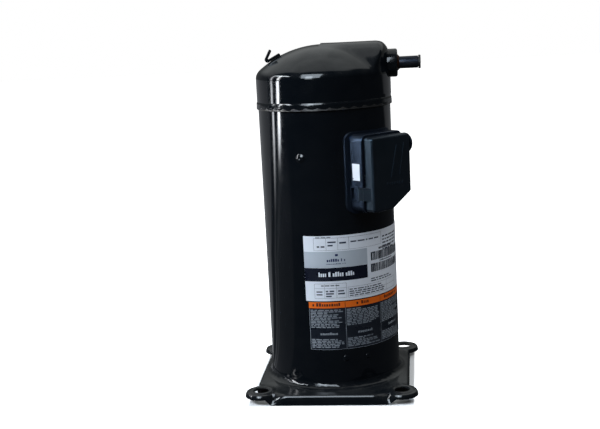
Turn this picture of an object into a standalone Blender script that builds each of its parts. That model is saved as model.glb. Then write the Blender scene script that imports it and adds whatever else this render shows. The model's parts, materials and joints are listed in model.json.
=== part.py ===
"""Hermetic scroll compressor, refrigerant type, modelled as the assembly that it comes apart into.

The origin is on the shaft's axis, level with the underside of the base. +Z is up, -Y is the front
and the discharge connection leaves along +X. Sizes in the functions are millimetres; the helper
functions turn them into metres.
"""

import math

import bmesh
import bpy
from mathutils import Matrix, Vector

MM = 0.001
GAP = 0.3  # left between pieces that touch

# Base: a stamped tray with a foot at each corner and the oil sump's bottom in the middle.
HOLE_PITCH = 190.5
FOOT_R = 22.5
FOOT_HOLE_R = 9.75
FOOT_LIP = 5.5
BASE_HALF_X = 105.0
BASE_HALF_Y = 116.5
BASE_TOP = 13.3
BASE_SHEET = 4.0
SUMP_FLOOR = 4.0

# Shell and cap.
SHELL_R = 91.0
SHELL_WALL = 3.5
SHELL_IN = SHELL_R - SHELL_WALL
SEAM = 391.0
CAP_R = 92.3
CAP_IN = CAP_R - SHELL_WALL
CAP_TOP = 476.5
CROWN_TOP = 474.8
CROWN_R = 135.4
KNUCKLE_R = 14.3
BEAD_R = 93.5
CAP_FOOT = SEAM + 4.1
RIDGE_R = 60.0  # the discharge ridge, a lying cylinder whose top line is just above the crown
RIDGE_END_R = 20.0
RIDGE_START = 10.0
RIDGE_SETBACK = 1.3  # how far its end wall stands inside the cap's skirt

# Connections.
DISCHARGE_Z = 445.0
DISCHARGE_R = 8.2
DISCHARGE_END = 130.5
SUCTION_Z = 272.0
SUCTION_R = 15.9
SUCTION_END = 128.0

# Terminal box, whose front faces this far round from -Y towards +X.
BOX_TURN = 47.0
TERMINAL_Z = 297.0
BOX_LEFT, BOX_RIGHT = -38.0, 37.5
BOX_LOW, BOX_HIGH = 256.0, 358.5
BOX_MOUTH = 110.4
COVER_LEFT, COVER_RIGHT = -34.0, 36.5
COVER_LOW, COVER_HIGH = 258.0, 355.0
COVER_FACE = 126.0
CORNER_CUT_X, CORNER_CUT_Z = 35.0, 20.0
KNOCKOUT_Z = 341.0
KNOCKOUT_DEPTH = 112.5
KNOCKOUT_R = 13.5

# Labels, as angles from -Y towards +X.
LABEL_START, LABEL_END = -18.2, 94.0

# Scroll set: both wraps are involutes of one circle, set half a turn apart.
INVOLUTE_R = 3.4
WRAP_WALL = 4.6
WRAP_START, WRAP_END = 3.6, 18.5  # radians of involute
ORBIT = 5.7
WRAP_STEPS = 72
SCROLL_PLATE_R = 66.0
THRUST_FACE = 341.0
PLATE_LOW = THRUST_FACE + GAP
PLATE_HIGH = PLATE_LOW + 10.0
WRAP_HIGH = PLATE_HIGH + 28.0
FIXED_LOW = WRAP_HIGH + GAP
FIXED_HIGH = FIXED_LOW + 12.4
SCROLL_BOLT_CIRCLE = 79.0

# Oldham coupling: a flat ring with two keys below it along X and two above it along Y.
RING_IN, RING_OUT = 58.5, 68.5
RING_LOW, RING_HIGH = 335.0, 340.0
KEY_CIRCLE = 63.5
KEY_SIDE = 9.0
KEY_TALL = 5.7
KEY_SLACK = 0.6

# Shaft, bearings and motor.
HOUSING_LOW, HOUSING_HIGH = 316.0, 342.0
MAIN_JOURNAL_R = 17.0
SHAFT_R = 16.0
LOWER_JOURNAL_R = 12.0
PIN_R = 9.0
BRACKET_ARM_TURN = -67.0
STACK_LOW, STACK_HIGH = 125.0, 245.0
STATOR_BORE = 45.3
ROTOR_R = 44.6
SLOTS = 18

# Partition between the suction space and the discharge space.
PARTITION_LOW = 401.5
PARTITION_SHEET = 4.0

FINISHES = {
    "black_paint": ((0.008, 0.008, 0.009), 0.18, 0.0),
    "black_plastic": ((0.018, 0.020, 0.024), 0.38, 0.0),
    "black_rubber": ((0.012, 0.012, 0.012), 0.7, 0.0),
    "dark_steel": ((0.09, 0.085, 0.08), 0.42, 0.9),
    "copper": ((0.42, 0.20, 0.12), 0.35, 1.0),
    "steel": ((0.52, 0.52, 0.53), 0.35, 1.0),
    "cast_iron": ((0.16, 0.16, 0.165), 0.55, 0.8),
    "lamination": ((0.30, 0.31, 0.33), 0.45, 0.9),
    "winding": ((0.45, 0.17, 0.06), 0.45, 0.4),
    "aluminium": ((0.68, 0.69, 0.70), 0.38, 1.0),
    "bronze": ((0.55, 0.36, 0.16), 0.4, 1.0),
    "seal_polymer": ((0.10, 0.09, 0.07), 0.55, 0.0),
    "white_plastic": ((0.72, 0.71, 0.68), 0.5, 0.0),
    "label_white": ((0.80, 0.81, 0.82), 0.4, 0.0),
    "label_grey": ((0.20, 0.21, 0.23), 0.4, 0.0),
}


# Helpers


def start_scene():
    for obj in list(bpy.data.objects):
        bpy.data.objects.remove(obj, do_unlink=True)
    for name in ("scroll_compressor", "cutters"):
        bpy.context.scene.collection.children.link(bpy.data.collections.new(name))


def finish_of(name):
    """The material of this name, made the first time that it is asked for."""
    if name in bpy.data.materials:
        return bpy.data.materials[name]
    colour, roughness, metallic = FINISHES[name]
    material = bpy.data.materials.new(name)
    material.use_nodes = True
    shader = material.node_tree.nodes["Principled BSDF"]
    shader.inputs["Base Color"].default_value = (*colour, 1.0)
    shader.inputs["Roughness"].default_value = roughness
    shader.inputs["Metallic"].default_value = metallic
    material.diffuse_color = (*colour, 1.0)
    return material


def new_object(name, mesh, finish):
    """A part with its finish, or a cutter, which has none and isn't rendered."""
    obj = bpy.data.objects.new(name, mesh)
    if finish:
        mesh.materials.append(finish_of(finish))
        bpy.data.collections["scroll_compressor"].objects.link(obj)
    else:
        obj.hide_render = True
        obj.display_type = "WIRE"
        bpy.data.collections["cutters"].objects.link(obj)
    return obj


def put(obj, location=(0.0, 0.0, 0.0), turn=(0.0, 0.0, 0.0)):
    """Places an object: millimetres, and degrees about X, then Y, then Z."""
    obj.location = Vector(location) * MM
    obj.rotation_euler = [math.radians(angle) for angle in turn]
    return obj


def turned(name, profile, finish=None, steps=28, closed=True):
    """Turns (radius, height) points about Z. Its outer side runs from top to bottom."""
    mesh = bpy.data.meshes.new(name)
    points = [(radius * MM, 0.0, height * MM) for radius, height in profile]
    edges = [(i, i + 1) for i in range(len(points) - 1)]
    if closed:
        edges.append((len(points) - 1, 0))
    mesh.from_pydata(points, edges, [])
    obj = new_object(name, mesh, finish)
    screw = obj.modifiers.new("Turn", "SCREW")
    screw.steps = steps
    screw.render_steps = steps
    screw.use_merge_vertices = True
    screw.merge_threshold = 0.00001
    return obj


def cylinder(name, radius, low, high, finish=None, steps=20):
    profile = [(0.0, high), (radius, high), (radius, low), (0.0, low)]
    return turned(name, profile, finish, steps, closed=False)


def ring(name, inner, outer, low, high, finish=None, steps=20):
    profile = [(inner, high), (outer, high), (outer, low), (inner, low)]
    return turned(name, profile, finish, steps)


def hole(name, radius, low, high, place, steps=12):
    """An upright cutter at (x, y), turned a little so that its corners miss the edges it cuts."""
    return put(cylinder(name, radius, low, high, steps=steps), (*place, 0.0), (0.0, 0.0, 4.0))


def block(name, low, high, finish=None):
    """A box from its lowest to its highest corner."""
    low, high = Vector(low), Vector(high)
    bm = bmesh.new()
    bmesh.ops.create_cube(bm, size=1.0)
    side = (high - low) * MM
    bmesh.ops.scale(bm, vec=side, verts=bm.verts)
    bmesh.ops.translate(bm, vec=(low + high) / 2 * MM, verts=bm.verts)
    mesh = bpy.data.meshes.new(name)
    bm.to_mesh(mesh)
    bm.free()
    return new_object(name, mesh, finish)


def slab(name, loops, low, high, finish=None):
    """A flat outline, the first loop, with its holes, the others, filled from low to high along Z."""
    curve = bpy.data.curves.new(name, "CURVE")
    curve.dimensions = "2D"
    curve.fill_mode = "BOTH"
    curve.extrude = (high - low) / 2 * MM
    for loop in loops:
        spline = curve.splines.new("POLY")
        spline.points.add(len(loop) - 1)
        spline.use_cyclic_u = True
        for point, (x, y) in zip(spline.points, loop):
            point.co = (x * MM, y * MM, 0.0, 1.0)
    outline = bpy.data.objects.new(name + "_outline", curve)
    bpy.context.scene.collection.objects.link(outline)
    graph = bpy.context.evaluated_depsgraph_get()
    mesh = bpy.data.meshes.new_from_object(outline.evaluated_get(graph))
    bpy.data.objects.remove(outline)
    mesh.materials.clear()
    bm = bmesh.new()
    bm.from_mesh(mesh)
    bmesh.ops.remove_doubles(bm, verts=bm.verts, dist=0.000001)
    bmesh.ops.translate(bm, vec=(0.0, 0.0, (low + high) / 2 * MM), verts=bm.verts)
    bmesh.ops.recalc_face_normals(bm, faces=bm.faces)
    bm.to_mesh(mesh)
    bm.free()
    return new_object(name, mesh, finish)


def tube(name, points, radius, finish):
    """A round lead along points, with its ends closed."""
    curve = bpy.data.curves.new(name, "CURVE")
    curve.dimensions = "3D"
    curve.bevel_depth = radius * MM
    curve.bevel_resolution = 2
    curve.use_fill_caps = True
    spline = curve.splines.new("POLY")
    spline.points.add(len(points) - 1)
    for point, place in zip(spline.points, points):
        point.co = (*(Vector(place) * MM), 1.0)
    return new_object(name, curve, finish)


def combine(obj, other, operation):
    modifier = obj.modifiers.new(operation.title(), "BOOLEAN")
    modifier.operation = operation
    modifier.object = other
    return obj


def cut(obj, *cutters):
    for cutter in cutters:
        combine(obj, cutter, "DIFFERENCE")
    return obj


def join(obj, *additions):
    for addition in additions:
        combine(obj, addition, "UNION")
    return obj


def arc(centre, radius, start, end, steps):
    """Points on an arc, from one angle to another in degrees."""
    angles = [math.radians(start + (end - start) * i / steps) for i in range(steps + 1)]
    return [(centre[0] + radius * math.cos(a), centre[1] + radius * math.sin(a)) for a in angles]


def rounded(corners, radii, steps=4):
    """An outline with each corner rounded by a tangent arc of its own radius."""
    points = []
    for i, radius in enumerate(radii):
        corner = Vector(corners[i])
        back = (Vector(corners[i - 1]) - corner).normalized()
        on = (Vector(corners[(i + 1) % len(corners)]) - corner).normalized()
        half = back.angle(on) / 2
        centre = corner + (back + on).normalized() * radius / math.sin(half)
        start = corner + back * radius / math.tan(half) - centre
        sweep = start.angle_signed(corner + on * radius / math.tan(half) - centre)
        for step in range(steps + 1):
            points.append(tuple(centre + Matrix.Rotation(-sweep * step / steps, 2) @ start))
    return points


def dome(radius, crown, knuckle, top, crown_steps=4, knuckle_steps=4):
    """The outer side of a dished end, from the axis out and down to where its skirt starts."""
    reach = radius - knuckle
    centre = top - crown
    knuckle_centre = centre + math.sqrt((crown - knuckle) ** 2 - reach**2)
    meet = 90.0 - math.degrees(math.asin(reach / (crown - knuckle)))
    crown_arc = arc((0.0, centre), crown, 90.0, meet, crown_steps)
    knuckle_arc = arc((reach, knuckle_centre), knuckle, meet, 0.0, knuckle_steps)
    return [(0.0, top)] + crown_arc[1:] + knuckle_arc[1:]


def box_point(lateral, height, depth):
    """A point of the terminal box: across its front, up, and out from the shaft's axis."""
    turn = math.radians(BOX_TURN)
    x = lateral * math.cos(turn) + depth * math.sin(turn)
    y = lateral * math.sin(turn) - depth * math.cos(turn)
    return x, y, height


def in_box(obj, lateral=0.0, height=0.0, depth=0.0):
    """Turns a piece drawn as (across, up, outwards) to face out of the terminal box."""
    return put(obj, box_point(lateral, height, depth), (90.0, 0.0, BOX_TURN))


# Base


def base_outline(inset):
    """The tray's outline: straight sides, with a round foot at each corner."""
    foot = HOLE_PITCH / 2
    radius = FOOT_R - inset
    side = BASE_HALF_X - inset - foot
    front = BASE_HALF_Y - inset - foot
    start = -math.degrees(math.acos(side / radius))
    end = 90.0 + math.degrees(math.acos(front / radius))
    quarter = arc((foot, foot), radius, start, end, 8)
    mirrored = [(-x, y) for x, y in reversed(quarter)]
    return quarter + mirrored + [(-x, -y) for x, y in quarter + mirrored]


def base():
    """The tray with its turned-down edge and four feet, the dished sump and the weld round the shell."""
    tray = slab("base_plate", [base_outline(0.0)], 0.0, BASE_TOP, "black_paint")
    under = BASE_TOP - BASE_SHEET
    cut(tray, slab("base_pocket", [base_outline(3.5)], -1.0, under))
    cut(tray, hole("sump_hole", 80.0, -2.0, 20.0, (0.0, 0.0), 40))
    foot = HOLE_PITCH / 2
    for x, y in ((foot, foot), (-foot, foot), (-foot, -foot), (foot, -foot)):
        lift = hole(f"foot_lift_{x:.0f}_{y:.0f}", FOOT_R + 4.0, -1.5, BASE_TOP - FOOT_LIP, (x, y), 20)
        cut(tray, lift, hole(f"foot_hole_{x:.0f}_{y:.0f}", FOOT_HOLE_R, -2.0, 20.0, (x, y), 16))
    sump = turned(
        "sump_dish",
        [
            (0.0, SUMP_FLOOR),
            (67.0, SUMP_FLOOR),
            (75.0, 9.8),
            (78.0, 12.3),
            (84.0, 12.3),
            (84.0, 10.3),
            (78.0, 7.0),
            (70.0, 0.0),
            (0.0, 0.0),
        ],
        steps=40,
        closed=False,
    )
    weld = [(SHELL_R + GAP, 19.5), (93.0, 16.5), (97.0, 13.9), (98.0, 12.0), (SHELL_R + GAP, 12.0)]
    return join(tray, sump, put(turned("base_weld", weld, steps=44), turn=(0.0, 0.0, 2.0)))


# Shell and cap


def shell():
    body = ring("main_shell", SHELL_IN, SHELL_R, BASE_TOP + GAP, SEAM, "black_paint", 48)
    suction = put(cylinder("suction_port", SUCTION_R + GAP, 70.0, 110.0), (0, 0, SUCTION_Z), (-90, 0, 0))
    terminal = in_box(cylinder("terminal_port", 15.5, 70.0, 110.0), height=TERMINAL_Z)
    return cut(body, suction, terminal)


def ridge(name, radius, top, end_radius, lying_radius, low):
    """The discharge ridge: an upright drum with a round shoulder, kept where a lying cylinder is."""
    shoulder = arc((radius - end_radius, top - end_radius), end_radius, 90.0, 0.0, 4)
    drum = turned(name, [(0.0, top)] + shoulder + [(radius, low), (0.0, low)], steps=44, closed=False)
    lying = cylinder(name + "_lying", lying_radius, RIDGE_START, 110.0, steps=44)
    return combine(drum, put(lying, (0.0, 0.0, CAP_TOP - RIDGE_R), (0.0, 90.0, 0.0)), "INTERSECT")


def cap():
    """The dished top cap with its discharge ridge, hollow and open below."""
    outside = dome(CAP_R, CROWN_R, KNUCKLE_R, CROWN_TOP, 6)
    outside += [(CAP_R, CAP_FOOT + 7.0), (BEAD_R, CAP_FOOT + 5.0), (BEAD_R, CAP_FOOT), (0.0, CAP_FOOT)]
    top = turned("top_cap", outside, "black_paint", 48, closed=False)
    join(top, ridge("ridge_outside", CAP_R - RIDGE_SETBACK, CAP_TOP + 1.0, RIDGE_END_R, RIDGE_R, 404.0))
    inside = dome(CAP_IN, CROWN_R - SHELL_WALL, KNUCKLE_R - SHELL_WALL, CROWN_TOP - SHELL_WALL, 4, 3)
    inside += [(CAP_IN, 380.0), (0.0, 380.0)]
    hollow = turned("cap_hollow", inside, steps=40, closed=False)
    bore = put(cylinder("discharge_port", DISCHARGE_R + GAP, 60.0, 110.0), (0, 0, DISCHARGE_Z), (0, 90, 0))
    inner_ridge = ridge(
        "ridge_inside",
        CAP_IN - RIDGE_SETBACK,
        CAP_TOP - SHELL_WALL + 1.0,
        RIDGE_END_R - SHELL_WALL,
        RIDGE_R - SHELL_WALL,
        385.0,
    )
    return cut(top, hollow, inner_ridge, bore)


def lifting_lug():
    """A bent plate on the cap's shoulder: one leg lies on the dome and one stands up, leaning in."""
    sheet = 3.5
    lean = math.radians(27.3)
    leg = 25.1
    toe, heel = (57.0, 462.8), (83.0, 449.2)
    tip = (heel[0] - leg * math.sin(lean), heel[1] + leg * math.cos(lean))
    lying = (Vector(toe) - Vector(heel)).normalized()
    standing = (Vector(tip) - Vector(heel)).normalized()
    crook = Vector(heel) + (lying + standing).normalized() * sheet / math.sin(lying.angle(standing) / 2)
    over_toe = Vector(toe) + Vector((-lying.y, lying.x)) * -sheet
    by_tip = Vector(tip) + Vector((-standing.y, standing.x)) * sheet
    corners = [toe, heel, tip, tuple(by_tip), tuple(crook), tuple(over_toe)]
    outline = rounded(corners, [0.5, 3.2, 0.5, 0.5, 0.5, 0.5], 3)
    plate = slab("lifting_lug", [outline], -12.5, 12.5, "black_paint")
    return put(plate, turn=(90.0, 0.0, 190.0))


# Connections


def discharge():
    """The saddle fitting, the stub brazed into it and the shipping plug in its end."""
    along_x = (0.0, 90.0, 0.0)
    bore = DISCHARGE_R + GAP
    collar = [(bore, 102.5), (17.0, 102.5), (19.0, 100.5), (19.0, 86.0), (bore, 86.0)]
    fitting = put(turned("discharge_fitting", collar, "black_paint"), (0, 0, DISCHARGE_Z), along_x)
    cut(fitting, cylinder("discharge_saddle", CAP_R + 0.5, 400.0, 490.0, steps=64))
    stub = ring("discharge_stub", DISCHARGE_R - 1.6, DISCHARGE_R, 78.0, DISCHARGE_END, "dark_steel")
    put(stub, (0, 0, DISCHARGE_Z), along_x)
    plug = turned(
        "discharge_plug",
        [
            (0.0, 134.0),
            (8.4, 134.0),
            (9.2, 133.0),
            (9.2, DISCHARGE_END + GAP),
            (DISCHARGE_R - 1.9, DISCHARGE_END + GAP),
            (DISCHARGE_R - 2.3, 116.0),
            (0.0, 116.0),
        ],
        "black_rubber",
        20,
        closed=False,
    )
    put(plug, (0, 0, DISCHARGE_Z), along_x)


def suction():
    """The suction fitting on the back, its stub and its shipping plug."""
    along_y = (-90.0, 0.0, 0.0)
    bore = SUCTION_R + GAP
    collar = [(bore, 104.0), (22.0, 104.0), (24.0, 102.0), (24.0, 80.0), (bore, 80.0)]
    fitting = put(turned("suction_fitting", collar, "black_paint"), (0, 0, SUCTION_Z), along_y)
    cut(fitting, cylinder("suction_saddle", SHELL_R + 0.5, 230.0, 320.0, steps=64))
    stub = ring("suction_stub", SUCTION_R - 1.6, SUCTION_R, 84.0, SUCTION_END, "copper")
    put(stub, (0, 0, SUCTION_Z), along_y)
    plug = turned(
        "suction_plug",
        [
            (0.0, 132.0),
            (16.4, 132.0),
            (17.2, 131.0),
            (17.2, SUCTION_END + GAP),
            (SUCTION_R - 1.9, SUCTION_END + GAP),
            (SUCTION_R - 2.3, 108.0),
            (0.0, 108.0),
        ],
        "black_rubber",
        20,
        closed=False,
    )
    put(plug, (0, 0, SUCTION_Z), along_y)


# Terminal box


def box_outline(left, right, low, high, radius, inset=0.0):
    """The box seen from its front: a rectangle with its lower right corner cut away."""
    corners = [
        (left + inset, low + inset),
        (right - CORNER_CUT_X, low + inset),
        (right - inset, low + CORNER_CUT_Z),
        (right - inset, high - inset),
        (left + inset, high - inset),
    ]
    curve = max(radius - inset, 1.0)
    return rounded(corners, [curve, 1.5, 1.5, curve, curve])


def terminal_box():
    """The moulded housing, hollow, with a back wall and a flange that follow the shell."""
    outside = box_outline(BOX_LEFT, BOX_RIGHT, BOX_LOW, BOX_HIGH, 9.0)
    housing = in_box(slab("terminal_box", [outside], 78.0, BOX_MOUTH, "black_plastic"))
    wide = box_outline(BOX_LEFT - 4.5, BOX_RIGHT + 2.5, BOX_LOW - 2.5, BOX_HIGH + 3.0, 12.0)
    flange = in_box(slab("box_flange", [wide], 70.0, 100.0))
    join(housing, combine(flange, cylinder("flange_face", SHELL_R + 3.4, 230.0, 380.0, steps=96), "INTERSECT"))
    inside = box_outline(BOX_LEFT, BOX_RIGHT, BOX_LOW, BOX_HIGH, 9.0, inset=2.6)
    pocket = in_box(slab("box_pocket", [inside], 70.0, BOX_MOUTH + 5.0))
    cut(pocket, cylinder("box_back", SHELL_R + 3.4, 230.0, 380.0, steps=96))
    window = in_box(cylinder("box_window", 22.0, 80.0, 104.0), height=TERMINAL_Z)
    cut(housing, cylinder("box_saddle", SHELL_R + 0.4, 220.0, 390.0, steps=96), pocket, window)
    hub = cylinder("conduit_knockout", KNOCKOUT_R, BOX_RIGHT + GAP, BOX_RIGHT + 3.8, "black_plastic")
    put(hub, box_point(0.0, KNOCKOUT_Z, KNOCKOUT_DEPTH), (0.0, 90.0, BOX_TURN))
    return housing


def terminal_cover():
    """The snap-on cover: a shallow tray with a latch tab down its left side."""
    outside = box_outline(COVER_LEFT, COVER_RIGHT, COVER_LOW, COVER_HIGH, 4.0)
    cover = in_box(slab("terminal_cover", [outside], BOX_MOUTH + GAP, COVER_FACE, "black_plastic"))
    inside = box_outline(COVER_LEFT, COVER_RIGHT, COVER_LOW, COVER_HIGH, 4.0, inset=2.2)
    hollow = in_box(slab("cover_hollow", [inside], BOX_MOUTH - 5.0, COVER_FACE - 2.2))
    cut(cover, hollow)
    low, high = (BOX_LEFT - 1.8, 273.0, BOX_MOUTH + 0.5), (COVER_LEFT + 1.0, 290.0, 113.5)
    bridge = block("latch_bridge", low, high)
    tab = block("latch_tab", (BOX_LEFT - 2.0, 272.5, 99.0), (BOX_LEFT - 0.4, 290.5, 113.0))
    return join(cover, in_box(bridge), in_box(tab))


def terminals():
    """The hermetic terminal welded into the shell, its pins, and the blocks on both of its sides."""
    cup = turned(
        "hermetic_terminal",
        [(0.0, 92.5), (15.2, 92.5), (15.2, 85.2), (17.5, 84.4), (17.5, 82.6), (0.0, 82.6)],
        "steel",
        24,
        closed=False,
    )
    outside = [(-14.0, -11.0), (14.0, -11.0), (14.0, 11.0), (-14.0, 11.0)]
    block_outline = rounded(outside, [4.0] * 4)
    outer_block = slab("terminal_block", [block_outline], 93.0, 100.0, "white_plastic")
    inner_block = slab("internal_plug", [block_outline], 73.0, 82.2, "white_plastic")
    for piece in (cup, outer_block, inner_block):
        in_box(piece, height=TERMINAL_Z)
    for i, angle in enumerate((90.0, 210.0, 330.0)):
        x, y = arc((0.0, 0.0), 7.0, angle, angle, 1)[0]
        pin_hole = in_box(cylinder(f"pin_hole_{i + 1}", 1.9, 60.0, 110.0, steps=12), x, TERMINAL_Z + y)
        pin = cylinder(f"terminal_pin_{i + 1}", 1.6, 75.0, 103.0, "steel", 12)
        in_box(pin, x, TERMINAL_Z + y)
        for piece in (cup, outer_block, inner_block):
            cut(piece, pin_hole)
    screw = [(0.0, 98.6), (4.5, 98.6), (4.5, 95.8), (2.4, 95.8), (2.4, 95.0), (0.0, 95.0)]
    in_box(turned("ground_screw", screw, "bronze", 16, closed=False), height=271.0)


def label(name, low, high, finish):
    """A thin sheet wrapped part of the way round the shell."""
    mesh = bpy.data.meshes.new(name)
    radius = (SHELL_R + GAP) * MM
    mesh.from_pydata([(0.0, -radius, high * MM), (0.0, -radius, low * MM)], [(0, 1)], [])
    sheet = new_object(name, mesh, finish)
    wrap = sheet.modifiers.new("Wrap", "SCREW")
    wrap.angle = math.radians(LABEL_END - LABEL_START)
    wrap.steps = 20
    wrap.render_steps = 20
    thick = sheet.modifiers.new("Thickness", "SOLIDIFY")
    thick.thickness = 0.3 * MM
    thick.offset = 1.0
    return put(sheet, turn=(0.0, 0.0, LABEL_START))


# Scroll set


def flank(angle, offset):
    """A point of the involute of the base circle, started at this offset."""
    run = angle - offset
    x = INVOLUTE_R * (math.cos(angle) + run * math.sin(angle))
    y = INVOLUTE_R * (math.sin(angle) - run * math.cos(angle))
    return x, y


def wrap_outline(half_turns):
    """The scroll wall between two parallel involutes, with points closer together further out."""
    offset = WRAP_WALL / 2 / INVOLUTE_R
    first, last = WRAP_START**1.5, WRAP_END**1.5
    angles = [(first + (last - first) * i / WRAP_STEPS) ** (2 / 3) for i in range(WRAP_STEPS + 1)]
    wall = [flank(a, -offset) for a in angles] + [flank(a, offset) for a in reversed(angles)]
    sign = -1.0 if half_turns % 2 else 1.0
    return [(sign * x, sign * y) for x, y in wall]


def fixed_scroll():
    """The fixed scroll: its wrap hangs down inside a ring wall bolted to the bearing housing."""
    scroll = turned(
        "fixed_scroll",
        [
            (6.0, FIXED_HIGH),
            (20.0, FIXED_HIGH),
            (20.0, FIXED_HIGH - 7.0),
            (48.0, FIXED_HIGH - 7.0),
            (48.0, FIXED_HIGH),
            (84.5, FIXED_HIGH),
            (84.5, HOUSING_HIGH + GAP),
            (72.5, HOUSING_HIGH + GAP),
            (72.5, FIXED_LOW),
            (6.0, FIXED_LOW),
        ],
        "cast_iron",
        40,
    )
    join(scroll, slab("fixed_wrap", [wrap_outline(1)], PLATE_HIGH + GAP, FIXED_LOW + 1.0))
    inlet = block("suction_inlets", (-95.0, -15.0, 353.0), (-60.0, 15.0, 370.0))
    other = block("suction_inlet_2", (60.0, -15.0, 353.0), (95.0, 15.0, 370.0))
    cut(scroll, inlet, other)
    return scroll


def orbiting_scroll():
    """The orbiting scroll: a wrap on a plate, key slots under it, and the hub that the crank drives."""
    scroll = turned(
        "orbiting_scroll",
        [
            (0.0, PLATE_HIGH),
            (SCROLL_PLATE_R, PLATE_HIGH),
            (SCROLL_PLATE_R, PLATE_LOW),
            (19.0, PLATE_LOW),
            (19.0, 324.3),
            (14.4, 324.3),
            (14.4, 340.3),
            (0.0, 340.3),
        ],
        "cast_iron",
        40,
        closed=False,
    )
    wrap = slab("orbiting_wrap", [wrap_outline(0)], PLATE_HIGH - 1.0, WRAP_HIGH)
    join(scroll, put(wrap, (ORBIT, 0.0, 0.0)))
    half = KEY_SIDE / 2 + KEY_SLACK / 2
    reach = KEY_CIRCLE - KEY_SIDE / 2 - ORBIT - KEY_SLACK
    top = RING_HIGH + GAP + KEY_TALL + KEY_SLACK
    for name, turn in (("scroll_slot_back", 0.0), ("scroll_slot_front", 180.0)):
        slot = block(name, (-half, reach, PLATE_LOW - 1.0), (half, 80.0, top))
        cut(scroll, put(slot, (ORBIT, 0.0, 0.0), (0.0, 0.0, turn)))
    put(scroll, (ORBIT, 0.0, 0.0))
    sleeve = ring("orbiting_bearing", 12.2, 14.1, 325.0, 340.0, "bronze")
    put(sleeve, (ORBIT, 0.0, 0.0))


def oldham_coupling():
    """The ring, and its keys: the lower pair slides along X in the housing, the upper pair along Y."""
    annulus = ring("oldham_ring", RING_IN, RING_OUT, RING_LOW, RING_HIGH, "aluminium", 36)
    put(annulus, (ORBIT, 0.0, 0.0))
    half = KEY_SIDE / 2
    low = RING_LOW - GAP - KEY_TALL
    high = RING_HIGH + GAP
    places = {
        "oldham_key_right": (KEY_CIRCLE, 0.0, low),
        "oldham_key_left": (-KEY_CIRCLE, 0.0, low),
        "oldham_key_back": (0.0, KEY_CIRCLE, high),
        "oldham_key_front": (0.0, -KEY_CIRCLE, high),
    }
    for name, (x, y, z) in places.items():
        key = block(name, (-half, -half, 0.0), (half, half, KEY_TALL), "aluminium")
        put(key, (x + ORBIT, y, z))


def scroll_bolts(scroll, housing):
    """Four cap screws hold the fixed scroll down on the bearing housing."""
    for i, angle in enumerate((45.0, 135.0, 225.0, 315.0)):
        x, y = arc((0.0, 0.0), SCROLL_BOLT_CIRCLE, angle, angle, 1)[0]
        bolt_hole = hole(f"bolt_hole_{i + 1}", 3.3, 325.0, 410.0, (x, y))
        cut(scroll, bolt_hole)
        cut(housing, bolt_hole)
        top = FIXED_HIGH + GAP
        bolt = turned(
            f"scroll_bolt_{i + 1}",
            [(0.0, top + 4.5), (4.9, top + 4.5), (4.9, top), (3.0, top), (3.0, 326.0), (0.0, 326.0)],
            "steel",
            12,
            closed=False,
        )
        put(bolt, (x, y, 0.0))


def floating_seal():
    """The seal stack in the fixed scroll's groove: two plates with a lip seal at each edge."""
    low = FIXED_HIGH - 7.0 + GAP
    ring("seal_lower_plate", 20.6, 47.4, low, low + 4.0, "aluminium", 28)
    lips = low + 4.0 + GAP
    ring("inner_lip_seal", 20.6, 27.0, lips, lips + 1.6, "seal_polymer", 28)
    ring("outer_lip_seal", 41.0, 47.4, lips, lips + 1.6, "seal_polymer", 28)
    plate = lips + 1.6 + GAP
    profile = [
        (21.5, 400.4),
        (25.5, 400.4),
        (26.5, plate + 3.6),
        (46.5, plate + 3.6),
        (46.5, plate),
        (21.5, plate),
    ]
    turned("seal_upper_plate", profile, "cast_iron")


def partition():
    """The partition welded in at the seam, with the discharge valve and the relief valve on it."""
    high = PARTITION_LOW + PARTITION_SHEET
    plate = turned(
        "muffler_plate",
        [
            (8.0, high),
            (56.0, high),
            (80.0, 402.4),
            (88.2, 399.0),
            (88.2, SEAM + 3.8),
            (93.3, SEAM + 3.8),
            (93.3, SEAM + GAP),
            (85.2, SEAM + GAP),
            (84.7, 397.9),
            (55.0, PARTITION_LOW),
            (8.0, PARTITION_LOW),
        ],
        "dark_steel",
        36,
    )
    relief_place = (-36.0, 36.0)
    cut(plate, hole("relief_hole", 6.3, 390.0, 420.0, relief_place))
    seat = high + GAP
    relief = [(0.0, 415.0), (4.0, 415.0), (8.0, 411.0), (8.0, seat), (6.0, seat), (6.0, 402.0), (0.0, 402.0)]
    put(turned("relief_valve", relief, "bronze", 16, closed=False), (*relief_place, 0.0))
    cylinder("discharge_valve", 11.0, high + GAP, high + GAP + 1.5, "steel")
    cage = turned(
        "valve_retainer",
        [(0.0, 413.4), (16.0, 413.4), (16.0, seat), (12.5, seat), (12.5, 410.9), (0.0, 410.9)],
        "steel",
        20,
        closed=False,
    )
    cut(cage, block("cage_window", (-20.0, -5.0, 407.0), (20.0, 5.0, 410.2)))
    cut(cage, block("cage_window_2", (-5.0, -20.0, 407.0), (5.0, 20.0, 410.2)))


# Bearings and shaft


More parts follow.
